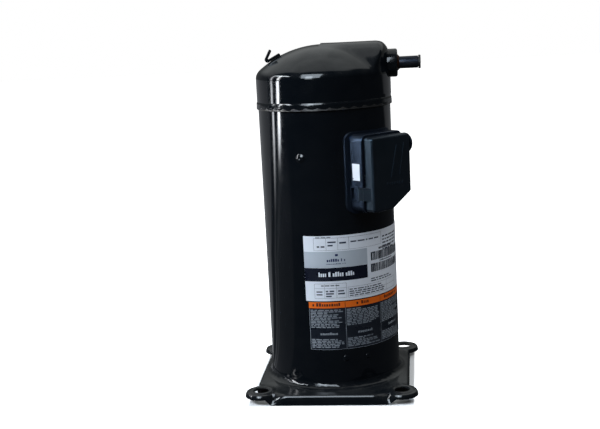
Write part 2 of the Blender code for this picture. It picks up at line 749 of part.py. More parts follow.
def main_bearing_housing():
    """The housing plug-welded to the shell: the thrust face, the Oldham recess and the main bearing."""
    floor = RING_LOW - 1.0
    housing = turned(
        "main_bearing_housing",
        [
            (36.0, THRUST_FACE),
            (52.0, THRUST_FACE),
            (52.0, floor),
            (75.0, floor),
            (75.0, HOUSING_HIGH),
            (SHELL_IN - GAP, HOUSING_HIGH),
            (SHELL_IN - GAP, HOUSING_LOW),
            (60.0, HOUSING_LOW),
            (34.0, 306.0),
            (30.0, 290.0),
            (20.0, 290.0),
            (20.0, 322.0),
            (36.0, 322.0),
        ],
        "cast_iron",
        36,
    )
    half = KEY_SIDE / 2 + KEY_SLACK / 2
    reach = KEY_SIDE / 2 + ORBIT + KEY_SLACK
    low = RING_LOW - GAP - KEY_TALL - KEY_SLACK
    for name, x in (("housing_slot_right", KEY_CIRCLE), ("housing_slot_left", -KEY_CIRCLE)):
        cut(housing, block(name, (x - reach, -half, low), (x + reach, half, floor + 3.0)))
    for i, angle in enumerate((0.0, 90.0, 180.0, 270.0)):
        place = arc((0.0, 0.0), SHELL_IN + 2.0, angle, angle, 1)[0]
        cut(housing, hole(f"gas_way_{i + 1}", 8.0, 300.0, 350.0, place))
    ring("main_bearing", MAIN_JOURNAL_R + GAP, 19.7, 290.5, 321.5, "bronze")
    return housing


def shaft():
    """The crankshaft with its eccentric pin and oil way, and the pieces that turn with it."""
    crank = turned(
        "crankshaft",
        [
            (0.0, 321.8),
            (MAIN_JOURNAL_R, 321.8),
            (MAIN_JOURNAL_R, 286.0),
            (SHAFT_R, 286.0),
            (SHAFT_R, 72.0),
            (LOWER_JOURNAL_R, 72.0),
            (LOWER_JOURNAL_R, 34.0),
            (0.0, 34.0),
        ],
        "steel",
        24,
        closed=False,
    )
    join(crank, put(cylinder("crank_pin", PIN_R, 320.0, 339.5), (ORBIT, 0.0, 0.0)))
    cut(crank, hole("oil_way", 2.5, 20.0, 350.0, (2.0, 0.0), 12))
    bushing = ring("drive_bushing", PIN_R + GAP, 11.9, 323.0, 339.0, "steel")
    put(bushing, (ORBIT, 0.0, 0.0))
    pickup = [(10.0, 33.7), (10.0, 28.0), (6.0, 11.0), (3.5, 11.0), (7.5, 28.0), (7.5, 33.7)]
    turned("oil_pickup", pickup, "steel", 16)


def half_ring(inner, outer, side):
    """The outline of half a ring, on the +X side or the -X side of the shaft."""
    outside = arc((0.0, 0.0), outer, -80.0, 80.0, 16)
    inside = arc((0.0, 0.0), inner, 80.0, -80.0, 8)
    return [(side * x, y) for x, y in outside + inside]


def rotor():
    """The rotor, a stack with end rings cast on it as one piece, and the two balance weights."""
    bore = SHAFT_R + GAP
    turned(
        "rotor",
        [
            (bore, STACK_HIGH),
            (26.0, STACK_HIGH),
            (26.0, 253.0),
            (42.0, 253.0),
            (42.0, STACK_HIGH),
            (ROTOR_R, STACK_HIGH),
            (ROTOR_R, STACK_LOW),
            (42.0, STACK_LOW),
            (42.0, 117.0),
            (26.0, 117.0),
            (26.0, STACK_LOW),
            (bore, STACK_LOW),
        ],
        "lamination",
    )
    slab("upper_counterweight", [half_ring(SHAFT_R + GAP, 41.0, -1.0)], 256.0, 284.0, "cast_iron")
    slab("lower_counterweight", [half_ring(26.0, 41.0, 1.0)], 98.0, 116.7, "bronze")


# Motor


def stator_outline():
    """The stack's outside, round with four flats that let gas pass."""
    points = []
    for i in range(64):
        angle = math.tau * i / 64
        from_flat = (angle + math.pi / 4) % (math.pi / 2) - math.pi / 4
        reach = min(SHELL_IN - GAP, 83.5 / math.cos(from_flat))
        points.append((reach * math.cos(angle), reach * math.sin(angle)))
    return points


def stator_bore():
    """The bore with its winding slots: a narrow mouth, then a wider slot."""
    points = []
    for i in range(SLOTS):
        axis = Vector((math.cos(math.tau * i / SLOTS), math.sin(math.tau * i / SLOTS)))
        across = Vector((-axis.y, axis.x))
        for out, side in ((STATOR_BORE, -1.4), (47.5, -1.4), (47.5, -3.3), (68.0, -4.2)):
            points.append(tuple(axis * out + across * side))
        for out, side in ((68.0, 4.2), (47.5, 3.3), (47.5, 1.4), (STATOR_BORE, 1.4)):
            points.append(tuple(axis * out + across * side))
    return points


def winding(name, low, high):
    """An end winding: a ring of wire with round shoulders."""
    shoulder = 6.0
    outer = arc((78.0 - shoulder, high - shoulder), shoulder, 90.0, 0.0, 1)
    outer += arc((78.0 - shoulder, low + shoulder), shoulder, 0.0, -90.0, 1)
    inner = arc((50.0 + shoulder, low + shoulder), shoulder, 270.0, 180.0, 1)
    inner += arc((50.0 + shoulder, high - shoulder), shoulder, 180.0, 90.0, 1)
    turned(name, outer + inner, "winding", 24)


def motor():
    slab("stator_core", [stator_outline(), stator_bore()], STACK_LOW, STACK_HIGH, "lamination")
    winding("upper_winding", STACK_HIGH + GAP, 284.0)
    winding("lower_winding", 86.0, STACK_LOW - GAP)
    put(cylinder("motor_protector", 6.5, -14.0, 14.0, "steel", 20), (0, 64, 290.9), (0, 90, 0))
    turn = BOX_TURN - 90.0
    route = [(66.0, turn + 4.0, 290.5), (65.5, turn + 10.0, 288.3)]
    route += [(65.0, turn + 16.0 + 8.0 * i, 288.1) for i in range(5)]
    points = [(*arc((0.0, 0.0), out, angle, angle, 1)[0], height) for out, angle, height in route]
    tube("motor_leads", points, 3.6, "white_plastic")


def lower_bearing():
    """The three-armed bracket plug-welded low in the shell, its bush and the thrust washer."""
    outline = []
    pad_in, pad_out, hub = 78.0, SHELL_IN - GAP, 24.0
    half_arm = 10.0
    at_hub = math.degrees(math.asin(half_arm / hub))
    at_pad = math.degrees(math.asin(half_arm / pad_in))
    for i in range(3):
        turn = BRACKET_ARM_TURN + 120.0 * i
        outline += arc((0.0, 0.0), pad_in, turn - at_pad, turn - 15.0, 1)
        outline += arc((0.0, 0.0), pad_out, turn - 15.0, turn + 15.0, 6)
        outline += arc((0.0, 0.0), pad_in, turn + 15.0, turn + at_pad, 1)
        outline += arc((0.0, 0.0), hub, turn + at_hub, turn + 120.0 - at_hub, 5)
    opening = arc((0, 0), 20.0, 0, 345, 23)
    spider = slab("lower_bearing_bracket", [outline, opening], 51.0, 64.0, "cast_iron")
    join(spider, ring("bracket_hub", 15.0, 23.0, 45.0, 69.0))
    ring("lower_bearing", LOWER_JOURNAL_R + GAP, 14.7, 45.5, 68.5, "bronze", 24)
    ring("thrust_washer", LOWER_JOURNAL_R + 0.6, 21.0, 69.3, 71.7, "steel", 24)


def suction_baffle():
    """A curved sheet inside the suction port that turns the gas down over the motor."""
    mesh = bpy.data.meshes.new("suction_baffle")
    radius = 80.5 * MM
    mesh.from_pydata([(0.0, radius, 304.0 * MM), (0.0, radius, 250.0 * MM)], [(0, 1)], [])
    sheet = new_object("suction_baffle", mesh, "dark_steel")
    bend = sheet.modifiers.new("Bend", "SCREW")
    bend.angle = math.radians(50.0)
    bend.steps = 10
    bend.render_steps = 10
    thick = sheet.modifiers.new("Thickness", "SOLIDIFY")
    thick.thickness = 1.2 * MM
    thick.offset = 1.0
    put(sheet, turn=(0.0, 0.0, -25.0))


def main():
    start_scene()
    base()
    shell()
    cap()
    lifting_lug()
    discharge()
    suction()
    terminal_box()
    terminal_cover()
    terminals()
    label("nameplate_label", 136.7, 226.0, "label_white")
    label("care_label", 68.8, 135.6, "label_grey")
    scroll_bolts(fixed_scroll(), main_bearing_housing())
    orbiting_scroll()
    oldham_coupling()
    floating_seal()
    partition()
    shaft()
    rotor()
    motor()
    lower_bearing()
    suction_baffle()
    put(cylinder("debris_magnet", 11.0, SUMP_FLOOR + GAP, 9.0, "dark_steel", 20), (48.0, 0.0, 0.0))


main()
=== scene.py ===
"""The looks of a hermetic scroll compressor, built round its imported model.

Sizes in the functions are millimetres in the model's frame: +Z is up, -Y is the front and the shaft's
axis is at X = Y = 0. Angles round the shell are degrees from -Y towards +X. make() turns a shape into
a piece in metres.
"""

import json
import random
from math import acos, cos, degrees, hypot, pi, radians, sin, sqrt, tan

import bmesh
import bpy
import numpy as np
from mathutils import Matrix, Vector
from mathutils.geometry import delaunay_2d_cdt

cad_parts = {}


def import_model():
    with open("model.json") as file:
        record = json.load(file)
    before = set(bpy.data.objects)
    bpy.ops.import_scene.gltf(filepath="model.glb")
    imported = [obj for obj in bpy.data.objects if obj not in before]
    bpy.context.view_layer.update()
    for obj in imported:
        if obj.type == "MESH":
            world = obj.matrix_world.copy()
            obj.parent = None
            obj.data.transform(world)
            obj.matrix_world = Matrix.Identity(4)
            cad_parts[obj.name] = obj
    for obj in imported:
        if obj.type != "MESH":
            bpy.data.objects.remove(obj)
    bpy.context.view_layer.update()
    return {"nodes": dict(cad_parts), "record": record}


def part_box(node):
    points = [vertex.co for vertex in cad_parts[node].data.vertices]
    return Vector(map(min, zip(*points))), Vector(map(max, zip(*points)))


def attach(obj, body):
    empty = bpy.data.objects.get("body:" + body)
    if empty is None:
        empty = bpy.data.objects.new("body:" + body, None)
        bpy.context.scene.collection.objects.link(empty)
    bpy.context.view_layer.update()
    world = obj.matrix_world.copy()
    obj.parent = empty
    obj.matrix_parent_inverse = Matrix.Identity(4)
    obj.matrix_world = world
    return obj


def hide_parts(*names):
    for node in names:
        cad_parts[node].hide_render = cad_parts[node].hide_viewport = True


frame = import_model()

MM = 0.001


def span(node):
    """A node's lowest and highest corner, in millimetres."""
    low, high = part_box(node)
    return low / MM, high / MM


# Driving sizes, read from the model.
SHELL_LOW, SHELL_HIGH = (corner.z for corner in span("main_shell"))
SHELL_R = span("main_shell")[1].x
CAP_FOOT, CAP_TOP = (corner.z for corner in span("top_cap"))
BEAD_R = span("top_cap")[1].x
CAP_R = BEAD_R - 1.2
STUB_LOW, STUB_HIGH = span("discharge_stub")
STUB_R, STUB_Z = (STUB_HIGH.y - STUB_LOW.y) / 2, (STUB_HIGH.z + STUB_LOW.z) / 2
SUCTION_LOW, SUCTION_HIGH = span("suction_stub")
SUCTION_R, SUCTION_Z = SUCTION_HIGH.x, (SUCTION_HIGH.z + SUCTION_LOW.z) / 2
LABEL_LOW, LABEL_HIGH = (corner.z for corner in span("nameplate_label"))
CARE_LOW, CARE_HIGH = (corner.z for corner in span("care_label"))

# Cap: a dished end, with a lying cylinder for the ridge over the discharge.
CROWN_TOP = CAP_TOP - 1.7
CROWN_R = 135.4
KNUCKLE_R = 14.3
RIDGE_R = 60.0
RIDGE_END_R = 20.0
RIDGE_SETBACK = 1.3

# Base tray.
FOOT_AT = 190.5 / 2
FOOT_R = 22.48
FOOT_HOLE_R = 9.75
FOOT_LIP = 5.5
BASE_HALF_X = 105.0
BASE_HALF_Y = 116.5
BASE_TOP = 13.3
BASE_SHEET = 3.2

# Terminal box, in its own directions: across its front, up, and out from the shaft's axis.
BOX_TURN = 47.0
BOX = (-38.0, 37.5, 256.0, 358.5)
COVER = (-34.0, 36.5, 258.0, 355.0)
BOX_MOUTH = 110.4
COVER_RIM = 110.7
COVER_FACE = 126.0
CORNER_CUT = (35.0, 20.0)
TERMINAL_Z = 297.0

# Labels.
LABEL_START, LABEL_END = -18.2, 94.0
LABEL_R = SHELL_R + 0.45
INK_R = LABEL_R + 0.06


def rotation(angle, axis):
    return Matrix.Rotation(radians(angle), 4, axis)


ALONG_X = Matrix.Translation((0.0, 0.0, STUB_Z)) @ rotation(90.0, "Y")
ALONG_Y = Matrix.Translation((0.0, 0.0, SUCTION_Z)) @ rotation(-90.0, "X")
IN_BOX = rotation(BOX_TURN, "Z") @ rotation(90.0, "X")
AT_TERMINAL = IN_BOX @ Matrix.Translation((0.0, TERMINAL_Z, 0.0))


# Finishes


def add(tree, kind, inputs=None, **settings):
    """A shader node with its settings and inputs; an input that is a socket is linked."""
    node = tree.nodes.new("ShaderNode" + kind)
    for key, value in settings.items():
        setattr(node, key, value)
    fill(tree, node, inputs or {})
    return node


def fill(tree, node, inputs):
    for key, value in inputs.items():
        if isinstance(value, bpy.types.NodeSocket):
            tree.links.new(value, node.inputs[key])
        else:
            node.inputs[key].default_value = value


def pattern(tree, coords, scale, detail):
    inputs = {"Vector": coords, "Scale": scale, "Detail": detail}
    return add(tree, "TexNoise", inputs).outputs["Fac"]


def noise(tree, coords, scale, low, high, detail=4.0, edges=(0.35, 0.65)):
    """Noise of this many features a metre, spread from low to high."""
    return ranged(tree, pattern(tree, coords, scale, detail), *edges, low, high)


def ranged(tree, value, start, end, low, high, **settings):
    """A value carried from one range to another."""
    inputs = {"Value": value, "From Min": start, "From Max": end, "To Min": low, "To Max": high}
    return add(tree, "MapRange", inputs, **settings).outputs["Result"]


def maths(tree, operation, *values):
    return add(tree, "Math", dict(enumerate(values)), operation=operation).outputs[0]


def mixed(tree, factor, *colours):
    """A colour between two colours or colour sockets."""
    first, second = ((*colour, 1.0) if isinstance(colour, tuple) else colour for colour in colours)
    return add(tree, "Mix", {"Factor": factor, 6: first, 7: second}, data_type="RGBA").outputs[2]


def product(tree, first, second):
    return maths(tree, "MULTIPLY", first, second)


def sum_of(tree, first, second, factor=1.0):
    """first + second x factor."""
    return maths(tree, "MULTIPLY_ADD", second, factor, first)


def bumped(tree, coords, scale, depth, below=None, detail=3.0):
    """A bump this many millimetres deep, over the bump below it."""
    height = pattern(tree, coords, scale, detail)
    inputs = {"Height": height, "Distance": depth * MM} | ({"Normal": below} if below else {})
    return add(tree, "Bump", inputs).outputs["Normal"]


FINISHES = {}
DUST_COLOUR = (0.1, 0.1, 0.095)


def finish(
    name, slot, colour, other, roughness, metallic=0.0, patches=40.0, grain=(900.0, 0.02), waves=None,
    stretch=None, dust=0.0, speckle=None, **inputs,
):
    """A procedural finish: two colours in patches, drifting roughness, grain, slow waves and settled dust.

    roughness is its lowest and highest value, grain and waves are features a metre and depth, speckle
    is features a metre, colour and edges, and stretch scales the pattern along the axes, for drawn or
    turned metal.
    """
    material = bpy.data.materials.new(name)
    material.use_nodes = True
    tree = material.node_tree
    shader = tree.nodes["Principled BSDF"]
    coords = add(tree, "TexCoord").outputs["Object"]
    if stretch:
        coords = add(tree, "Mapping", {"Vector": coords, "Scale": stretch}).outputs["Vector"]
    tint = mixed(tree, noise(tree, coords, patches, 0.0, 1.0), colour, other)
    gloss = noise(tree, coords, patches * 2.3, *roughness)
    if speckle:
        spots, spot_colour, edges = speckle
        spotted = noise(tree, coords, spots, 0.0, 1.0, 2.0, edges)
        tint = mixed(tree, spotted, tint, spot_colour)
    if dust:
        facing = add(tree, "NewGeometry").outputs["Normal"]
        upward = add(tree, "SeparateXYZ", {"Vector": facing}).outputs["Z"]
        lying = ranged(tree, upward, 0.1, 0.9, 0.12 * dust, dust)
        settled = product(tree, lying, noise(tree, coords, 55.0, 0.15, 1.0, 8.0))
        tint = mixed(tree, settled, tint, DUST_COLOUR)
        gloss = sum_of(tree, gloss, settled, 0.6)
    normal = bumped(tree, coords, waves[0], waves[1], detail=1.0) if waves else None
    normal = bumped(tree, coords, grain[0], grain[1], normal)
    fill(tree, shader, {"Base Color": tint, "Roughness": gloss, "Normal": normal, "Metallic": metallic})
    fill(tree, shader, {key.replace("_", " "): value for key, value in inputs.items()})
    FINISHES[name] = (material, slot)


def paint_finishes():
    """Baked gloss enamel on the pressings, with the slow waves of the sheet under it."""
    finish(
        "gloss_paint", "black_paint", (0.0014, 0.0026, 0.0044), (0.0022, 0.0036, 0.0056), (0.06, 0.11),
        waves=(22.0, 0.1), grain=(420.0, 0.006), patches=18.0, dust=0.1,
    )
    finish(
        "base_paint", "black_paint", (0.002, 0.0036, 0.0056), (0.0042, 0.0056, 0.0076), (0.07, 0.15),
        waves=(38.0, 0.1), grain=(500.0, 0.01), patches=30.0, dust=0.1,
        speckle=(380.0, (0.03, 0.03, 0.03), (0.68, 0.8)),
    )
    finish(
        "weld_paint", "black_paint", (0.002, 0.0034, 0.0052), (0.004, 0.0052, 0.007), (0.07, 0.15),
        waves=(60.0, 0.09), grain=(500.0, 0.01), dust=0.05,
    )


def plastic_finishes():
    """Mouldings and rubber. The black mouldings' gloss is tinted blue: a painted tint on their reflections
    that stands in for the bluish light they mirror.
    """
    finish(
        "box_plastic", "black_plastic", (0.004, 0.0062, 0.0105), (0.006, 0.0082, 0.013), (0.15, 0.24),
        grain=(1500.0, 0.006), waves=(30.0, 0.08), patches=25.0, dust=0.05,
        # Painted reflection colour: the blue specular tint stands in for the bluish light on the housing.
        Specular_IOR_Level=0.75, Specular_Tint=(0.34, 0.58, 1.0, 1.0),
    )
    finish(
        "cover_plastic", "black_plastic", (0.0062, 0.0086, 0.0118), (0.0088, 0.0112, 0.0146), (0.3, 0.4),
        grain=(1800.0, 0.014), patches=22.0, dust=0.05,
        # Painted reflection colour: the blue specular tint stands in for the bluish light on the cover.
        speckle=(260.0, (0.016, 0.019, 0.023), (0.66, 0.8)), Specular_Tint=(0.42, 0.7, 1.0, 1.0),
    )
    finish(
        "plug_rubber", "black_rubber", (0.006, 0.0062, 0.007), (0.011, 0.011, 0.012), (0.42, 0.6),
        grain=(1300.0, 0.03), dust=0.15,
    )
    finish(
        "white_moulding", "white_plastic", (0.66, 0.64, 0.6), (0.58, 0.56, 0.52), (0.38, 0.52),
        grain=(1500.0, 0.02),
    )
    finish(
        "seal_polymer", "seal_polymer", (0.07, 0.062, 0.05), (0.11, 0.095, 0.075), (0.45, 0.62),
        grain=(1800.0, 0.02), speckle=(900.0, (0.03, 0.028, 0.025), (0.6, 0.72)),
    )


def metal_finishes():
    """Bare metals, each with its colours, roughness and how metallic it is."""
    finish(
        "stub_steel", "dark_steel", (0.02, 0.027, 0.042), (0.04, 0.046, 0.058), (0.3, 0.45), 0.85,
        stretch=(1.0, 6.0, 6.0), patches=35.0, speckle=(160.0, (0.1, 0.06, 0.04), (0.6, 0.72)),
    )
    finish(
        "dark_steel", "dark_steel", (0.1, 0.1, 0.105), (0.14, 0.135, 0.13), (0.32, 0.46), 0.9,
        speckle=(300.0, (0.07, 0.05, 0.04), (0.62, 0.75)),
    )
    finish(
        "braze_copper", "copper", (0.085, 0.034, 0.018), (0.036, 0.02, 0.016), (0.35, 0.55), 0.8,
        patches=240.0, grain=(700.0, 0.05),
    )
    finish(
        "copper_tube", "copper", (0.62, 0.27, 0.15), (0.4, 0.17, 0.1), (0.22, 0.38), 1.0,
        patches=60.0, stretch=(5.0, 1.0, 5.0), speckle=(120.0, (0.16, 0.08, 0.06), (0.6, 0.78)),
    )
    finish("steel", "steel", (0.5, 0.5, 0.52), (0.4, 0.41, 0.43), (0.2, 0.34), 1.0, stretch=(1.0, 1.0, 9.0))
    finish(
        "cast_iron", "cast_iron", (0.13, 0.132, 0.138), (0.2, 0.2, 0.205), (0.42, 0.6), 0.75,
        grain=(700.0, 0.09), speckle=(1200.0, (0.05, 0.05, 0.05), (0.58, 0.7)),
    )
    finish(
        "lamination", "lamination", (0.22, 0.225, 0.24), (0.34, 0.345, 0.36), (0.32, 0.48), 0.9,
        stretch=(0.05, 0.05, 14.0), patches=110.0, grain=(160.0, 0.08),
    )
    finish(
        "winding", "winding", (0.44, 0.13, 0.035), (0.26, 0.065, 0.018), (0.25, 0.42), 0.35,
        patches=90.0, stretch=(1.0, 1.0, 4.0), grain=(500.0, 0.2),
    )
    finish(
        "aluminium", "aluminium", (0.62, 0.63, 0.65), (0.5, 0.51, 0.53), (0.28, 0.42), 1.0,
        grain=(800.0, 0.05),
    )
    finish("bronze", "bronze", (0.52, 0.33, 0.13), (0.4, 0.23, 0.09), (0.26, 0.4), 1.0, grain=(900.0, 0.03))


def print_finishes():
    """The printed film of the labels and its inks."""
    inks = {
        "film_white": ("label_white", (0.86, 0.9, 0.97), (0.8, 0.84, 0.92), (0.3, 0.42)),
        "film_panel": ("label_white", (0.52, 0.57, 0.63), (0.45, 0.5, 0.57), (0.3, 0.42)),
        "film_dark": ("label_grey", (0.006, 0.009, 0.016), (0.012, 0.015, 0.022), (0.24, 0.36)),
        "ink_black": ("label_white", (0.003, 0.005, 0.014), (0.006, 0.008, 0.018), (0.22, 0.32)),
        "ink_grey": ("label_white", (0.03, 0.036, 0.065), (0.06, 0.068, 0.1), (0.34, 0.46)),
        "ink_blue": ("label_white", (0.016, 0.024, 0.1), (0.024, 0.034, 0.13), (0.3, 0.42)),
        "ink_pale": ("label_grey", (0.3, 0.33, 0.37), (0.22, 0.25, 0.29), (0.34, 0.46)),
        "ink_orange": ("label_grey", (0.92, 0.17, 0.012), (0.86, 0.15, 0.01), (0.3, 0.42)),
        "ink_brown": ("label_grey", (0.06, 0.012, 0.006), (0.045, 0.01, 0.006), (0.34, 0.46)),
    }
    for name, row in inks.items():
        finish(name, *row, grain=(500.0, 0.01), patches=26.0)


# Shapes


def around(turn, reach, height):
    """A point at an angle in radians from -Y towards +X."""
    return reach * sin(turn), -reach * cos(turn), height


def grid(rows, columns, close_rows=False):
    """The quads between closed rows of points."""
    faces = []
    for i in range(rows if close_rows else rows - 1):
        for j in range(columns):
            here, there = i * columns, (i + 1) % rows * columns
            on = (j + 1) % columns
            faces.append((here + j, here + on, there + on, there + j))
    return faces


def arc(radius, start, end, steps, centre=(0.0, 0.0)):
    """Points on an arc, from one angle to another in degrees."""
    angles = [radians(start + (end - start) * i / steps) for i in range(steps + 1)]
    return [(centre[0] + radius * cos(a), centre[1] + radius * sin(a)) for a in angles]


def circle(radius, steps, centre=(0.0, 0.0)):
    return arc(radius, 0, 360, steps, centre)[:-1]


def rounded(corners, radii, steps):
    """An outline with each corner rounded by a tangent arc of its own radius."""
    points = []
    for i, radius in enumerate(radii):
        corner = Vector(corners[i])
        back = (Vector(corners[i - 1]) - corner).normalized()
        on = (Vector(corners[(i + 1) % len(corners)]) - corner).normalized()
        half = back.angle(on) / 2
        centre = corner + (back + on).normalized() * radius / sin(half)
        start = corner + back * radius / tan(half) - centre
        sweep = start.angle_signed(corner + on * radius / tan(half) - centre)
        for step in range(steps + 1):
            points.append(tuple(centre + Matrix.Rotation(-sweep * step / steps, 2) @ start))
    return points


def inset(corners, distance):
    """An outline, running anticlockwise, with its sides moved in."""
    moved = []
    for i, corner in enumerate(corners):
        into = (Vector(corner) - Vector(corners[i - 1])).normalized()
        out = (Vector(corners[(i + 1) % len(corners)]) - Vector(corner)).normalized()
        first, second = Vector((-into.y, into.x)), Vector((-out.y, out.x))
        moved.append(tuple(Vector(corner) + (first + second) / (1 + first.dot(second)) * distance))
    return moved


def lathe(profile, steps, ring=True, wander=None):
    """A profile of (radius, height) turned about Z. wander(angle, height) is added to each radius."""
    points = []
    for radius, height in profile:
        for i in range(steps):
            turn = 2 * pi * i / steps
            here = radius + (wander(turn, height) if wander else 0.0)
            points.append((here * cos(turn), here * sin(turn), height))
    return points, grid(len(profile), steps, ring)


def loft(loops):
    """A solid through loops of equally many points, closed by a face at each end."""
    count = len(loops[0])
    points = [point for loop in loops for point in loop]
    faces = grid(len(loops), count)
    return points, faces + [tuple(range(count)), tuple(range(len(points) - count, len(points)))]


def drum(radius, low, high, steps=192):
    """A plain cylinder, for cutting."""
    return loft([[(x, y, z) for x, y in circle(radius, steps)] for z in (low, high)])


def mesh_of(name, shape, place, fix):
    """A smooth mesh in metres from points and faces in millimetres."""
    points, faces = shape
    mesh = bpy.data.meshes.new(name)
    mesh.from_pydata([Vector(point) * MM for point in points], [], faces)
    if place is not None:
        moved = place.copy()
        moved.translation = place.translation * MM
        mesh.transform(moved)
    bm = bmesh.new()
    bm.from_mesh(mesh)
    bmesh.ops.remove_doubles(bm, verts=bm.verts, dist=0.000002)
    if fix:
        bmesh.ops.recalc_face_normals(bm, faces=bm.faces)
    bm.to_mesh(mesh)
    bm.free()
    return mesh


def linked(name, data):
    """An object in the scene that shows this mesh, light or camera."""
    obj = bpy.data.objects.new(name, data)
    bpy.context.scene.collection.objects.link(obj)
    return obj


def solid(name, shape, place=None, fix=True):
    """An object without a finish, for carve() or piece()."""
    return linked(name, mesh_of(name, shape, place, fix))


def carve(obj, *tools, operation="DIFFERENCE"):
    """Cuts the tools from a helper object, or joins them to it, and removes them."""
    for tool in tools:
        cut = obj.modifiers.new("Cut", "BOOLEAN")
        cut.object = tool
        cut.operation = operation
        cut.solver = "EXACT"
    graph = bpy.context.evaluated_depsgraph_get()
    mesh = bpy.data.meshes.new_from_object(obj.evaluated_get(graph))
    obj.modifiers.clear()
    obj.data = mesh
    for tool in tools:
        bpy.data.objects.remove(tool)


def piece(obj, finish_name, body="shell", stands_for=(), sharp=35.0, thickness=0.0, flat_faces=False):
    """Gives an object its thickness, finish, shading and body, and hides the nodes it stands for."""
    if thickness:
        sheet = obj.modifiers.new("Sheet", "SOLIDIFY")
        sheet.thickness = thickness * MM
        sheet.offset = -1.0
        carve(obj)
    material, slot = FINISHES[finish_name]
    obj.data.materials.clear()
    obj.data.materials.append(material)
    obj.data.shade_smooth()
    obj.data.set_sharp_from_angle(angle=radians(sharp))
    if flat_faces:
        weighted = obj.modifiers.new("Flat faces", "WEIGHTED_NORMAL")
        weighted.keep_sharp = True
        weighted.weight = 100
    if stands_for:
        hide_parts(*stands_for)
    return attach(obj, body)


def make(name, shape, finish_name, place=None, fix=True, **rest):
    return piece(solid(name, shape, place, fix), finish_name, **rest)


# Cap


def round_max(a, b, radius):
    """The distance to where two bodies meet, with the edge between them rounded."""
    outside = np.hypot(np.maximum(a + radius, 0), np.maximum(b + radius, 0))
    return np.minimum(np.maximum(a, b), -radius) + outside


def soft_min(a, b, reach):
    """The distance to two bodies together, with a fillet between them."""
    blend = np.maximum(reach - np.abs(a - b), 0) / reach
    return np.minimum(a, b) - blend * blend * reach / 4


def cap_distance(point):
    """How far a point is outside the cap: the dished end, joined to the ridge over the discharge."""
    x, y, z = point[..., 0], point[..., 1], point[..., 2]
    out = np.hypot(x, y)
    crown = np.hypot(out, z - (CROWN_TOP - CROWN_R)) - CROWN_R
    reach = CAP_R - KNUCKLE_R
    hub = CROWN_TOP - CROWN_R
    bend = hub + sqrt((CROWN_R - KNUCKLE_R) ** 2 - reach**2)
    knuckle = np.hypot(out - reach, z - bend) - KNUCKLE_R
    sides = np.where(z > bend, knuckle, out - CAP_R)
    dished = np.where(out * (bend - hub) < (z - hub) * reach, crown, sides)
    lying = np.hypot(y, z - (CAP_TOP - RIDGE_R)) - RIDGE_R
    upright = round_max(z - CAP_TOP - 1.0, out - (CAP_R - RIDGE_SETBACK), RIDGE_END_R)
    ridge = np.maximum(round_max(lying, upright, 3.0), -x)
    return soft_min(dished, ridge, 3.5)


def cap_shape():
    """The pressed cap, found along rays from a point inside it, and its skirt down to the weld."""
    centre = np.array((0.0, 0.0, 405.0))
    rows, columns = 96, 300
    rise = np.radians(np.linspace(89.9, 0.0, rows))[:, None]
    turn = (2 * np.pi * np.arange(columns) / columns)[None, :]
    across = np.cos(rise)
    ray = np.stack([across * np.cos(turn), across * np.sin(turn), np.sin(rise) + 0 * turn], axis=-1)
    near, far = np.zeros((rows, columns)), np.full((rows, columns), 140.0)
    for _ in range(34):
        middle = (near + far) / 2
        inside = cap_distance(centre + ray * middle[..., None]) < 0
        near, far = np.where(inside, middle, near), np.where(inside, far, middle)
    surface = centre + ray * near[..., None]
    surface[..., 2] = np.minimum(surface[..., 2], CAP_TOP)
    points = [tuple(point) for point in surface.reshape(-1, 3)]
    for radius, height in ((CAP_R, 402.0), (CAP_R, 399.0)):
        points += [(x, y, height) for x, y in circle(radius, columns)]
    return points, grid(rows + 2, columns)


def ripple(size, seed, turns):
    """An uneven weld's wander: a few waves round it, of fixed phases."""
    draw = random.Random(seed)
    waves = [(turn, draw.uniform(0, 2 * pi), draw.uniform(0.5, 1.0)) for turn in turns]

    def wander(angle, height):
        total = sum(weight * sin(turn * angle + phase + height) for turn, phase, weight in waves)
        return size * total / len(waves)

    return wander


def cap():
    make("cap_pressing", cap_shape(), "gloss_paint", stands_for=("top_cap",), thickness=3.2, sharp=50.0)
    low, high = SHELL_HIGH - 0.6, CAP_FOOT + 6.6
    top = BEAD_R - 0.25
    corners = [(SHELL_R - 1.5, low), (SHELL_R + 0.6, low), (top - 0.4, low + 1.8), (top, low + 4.4)]
    corners += [(top - 0.2, high - 2.6), (CAP_R + 0.1, high - 0.4), (CAP_R - 0.6, high)]
    corners.append((SHELL_R - 1.5, high))
    bead = rounded(corners, [0.3, 0.4, 1.2, 2.0, 1.2, 0.8, 0.2, 0.3], 5)
    make("seam_weld", lathe(bead, 420, wander=ripple(0.2, 3, (23, 37, 61, 7))), "weld_paint", sharp=60.0)


def lifting_lug():
    """The bent plate on the cap's shoulder: one leg lies on the dome and one stands up, leaning in."""
    sheet = 2.9
    lean = radians(27.3)
    toe, heel = Vector((57.0, 462.8)), Vector((83.0, 449.2))
    tip = heel + Vector((-sin(lean), cos(lean))) * 25.0
    lying, standing = (toe - heel).normalized(), (tip - heel).normalized()
    over = Vector((-lying.y, lying.x)) * -sheet
    beside = Vector((-standing.y, standing.x)) * sheet
    crook = heel + (lying + standing).normalized() * sheet / sin(lying.angle(standing) / 2)
    corners = [tuple(corner) for corner in (toe, heel, tip, tip + beside, crook, toe + over)]
    outline = rounded(corners, [0.5, 3.4, 1.5, 1.5, 1.2, 0.5], 8)
    depths = [(-12.2, 0.5), (-11.7, 0.0), (11.7, 0.0), (12.2, 0.5)]
    middle = sum((Vector(p) for p in outline), Vector((0.0, 0.0))) / len(outline)
    loops = []
    for across, drawn in depths:
        shrunk = [Vector(p) + (middle - Vector(p)).normalized() * drawn for p in outline]
        loops.append([(p.x, across, p.y) for p in shrunk])
    place = rotation(190.0, "Z")
    make("lug_plate", loft(loops), "base_paint", place, stands_for=("lifting_lug",))


# Shell


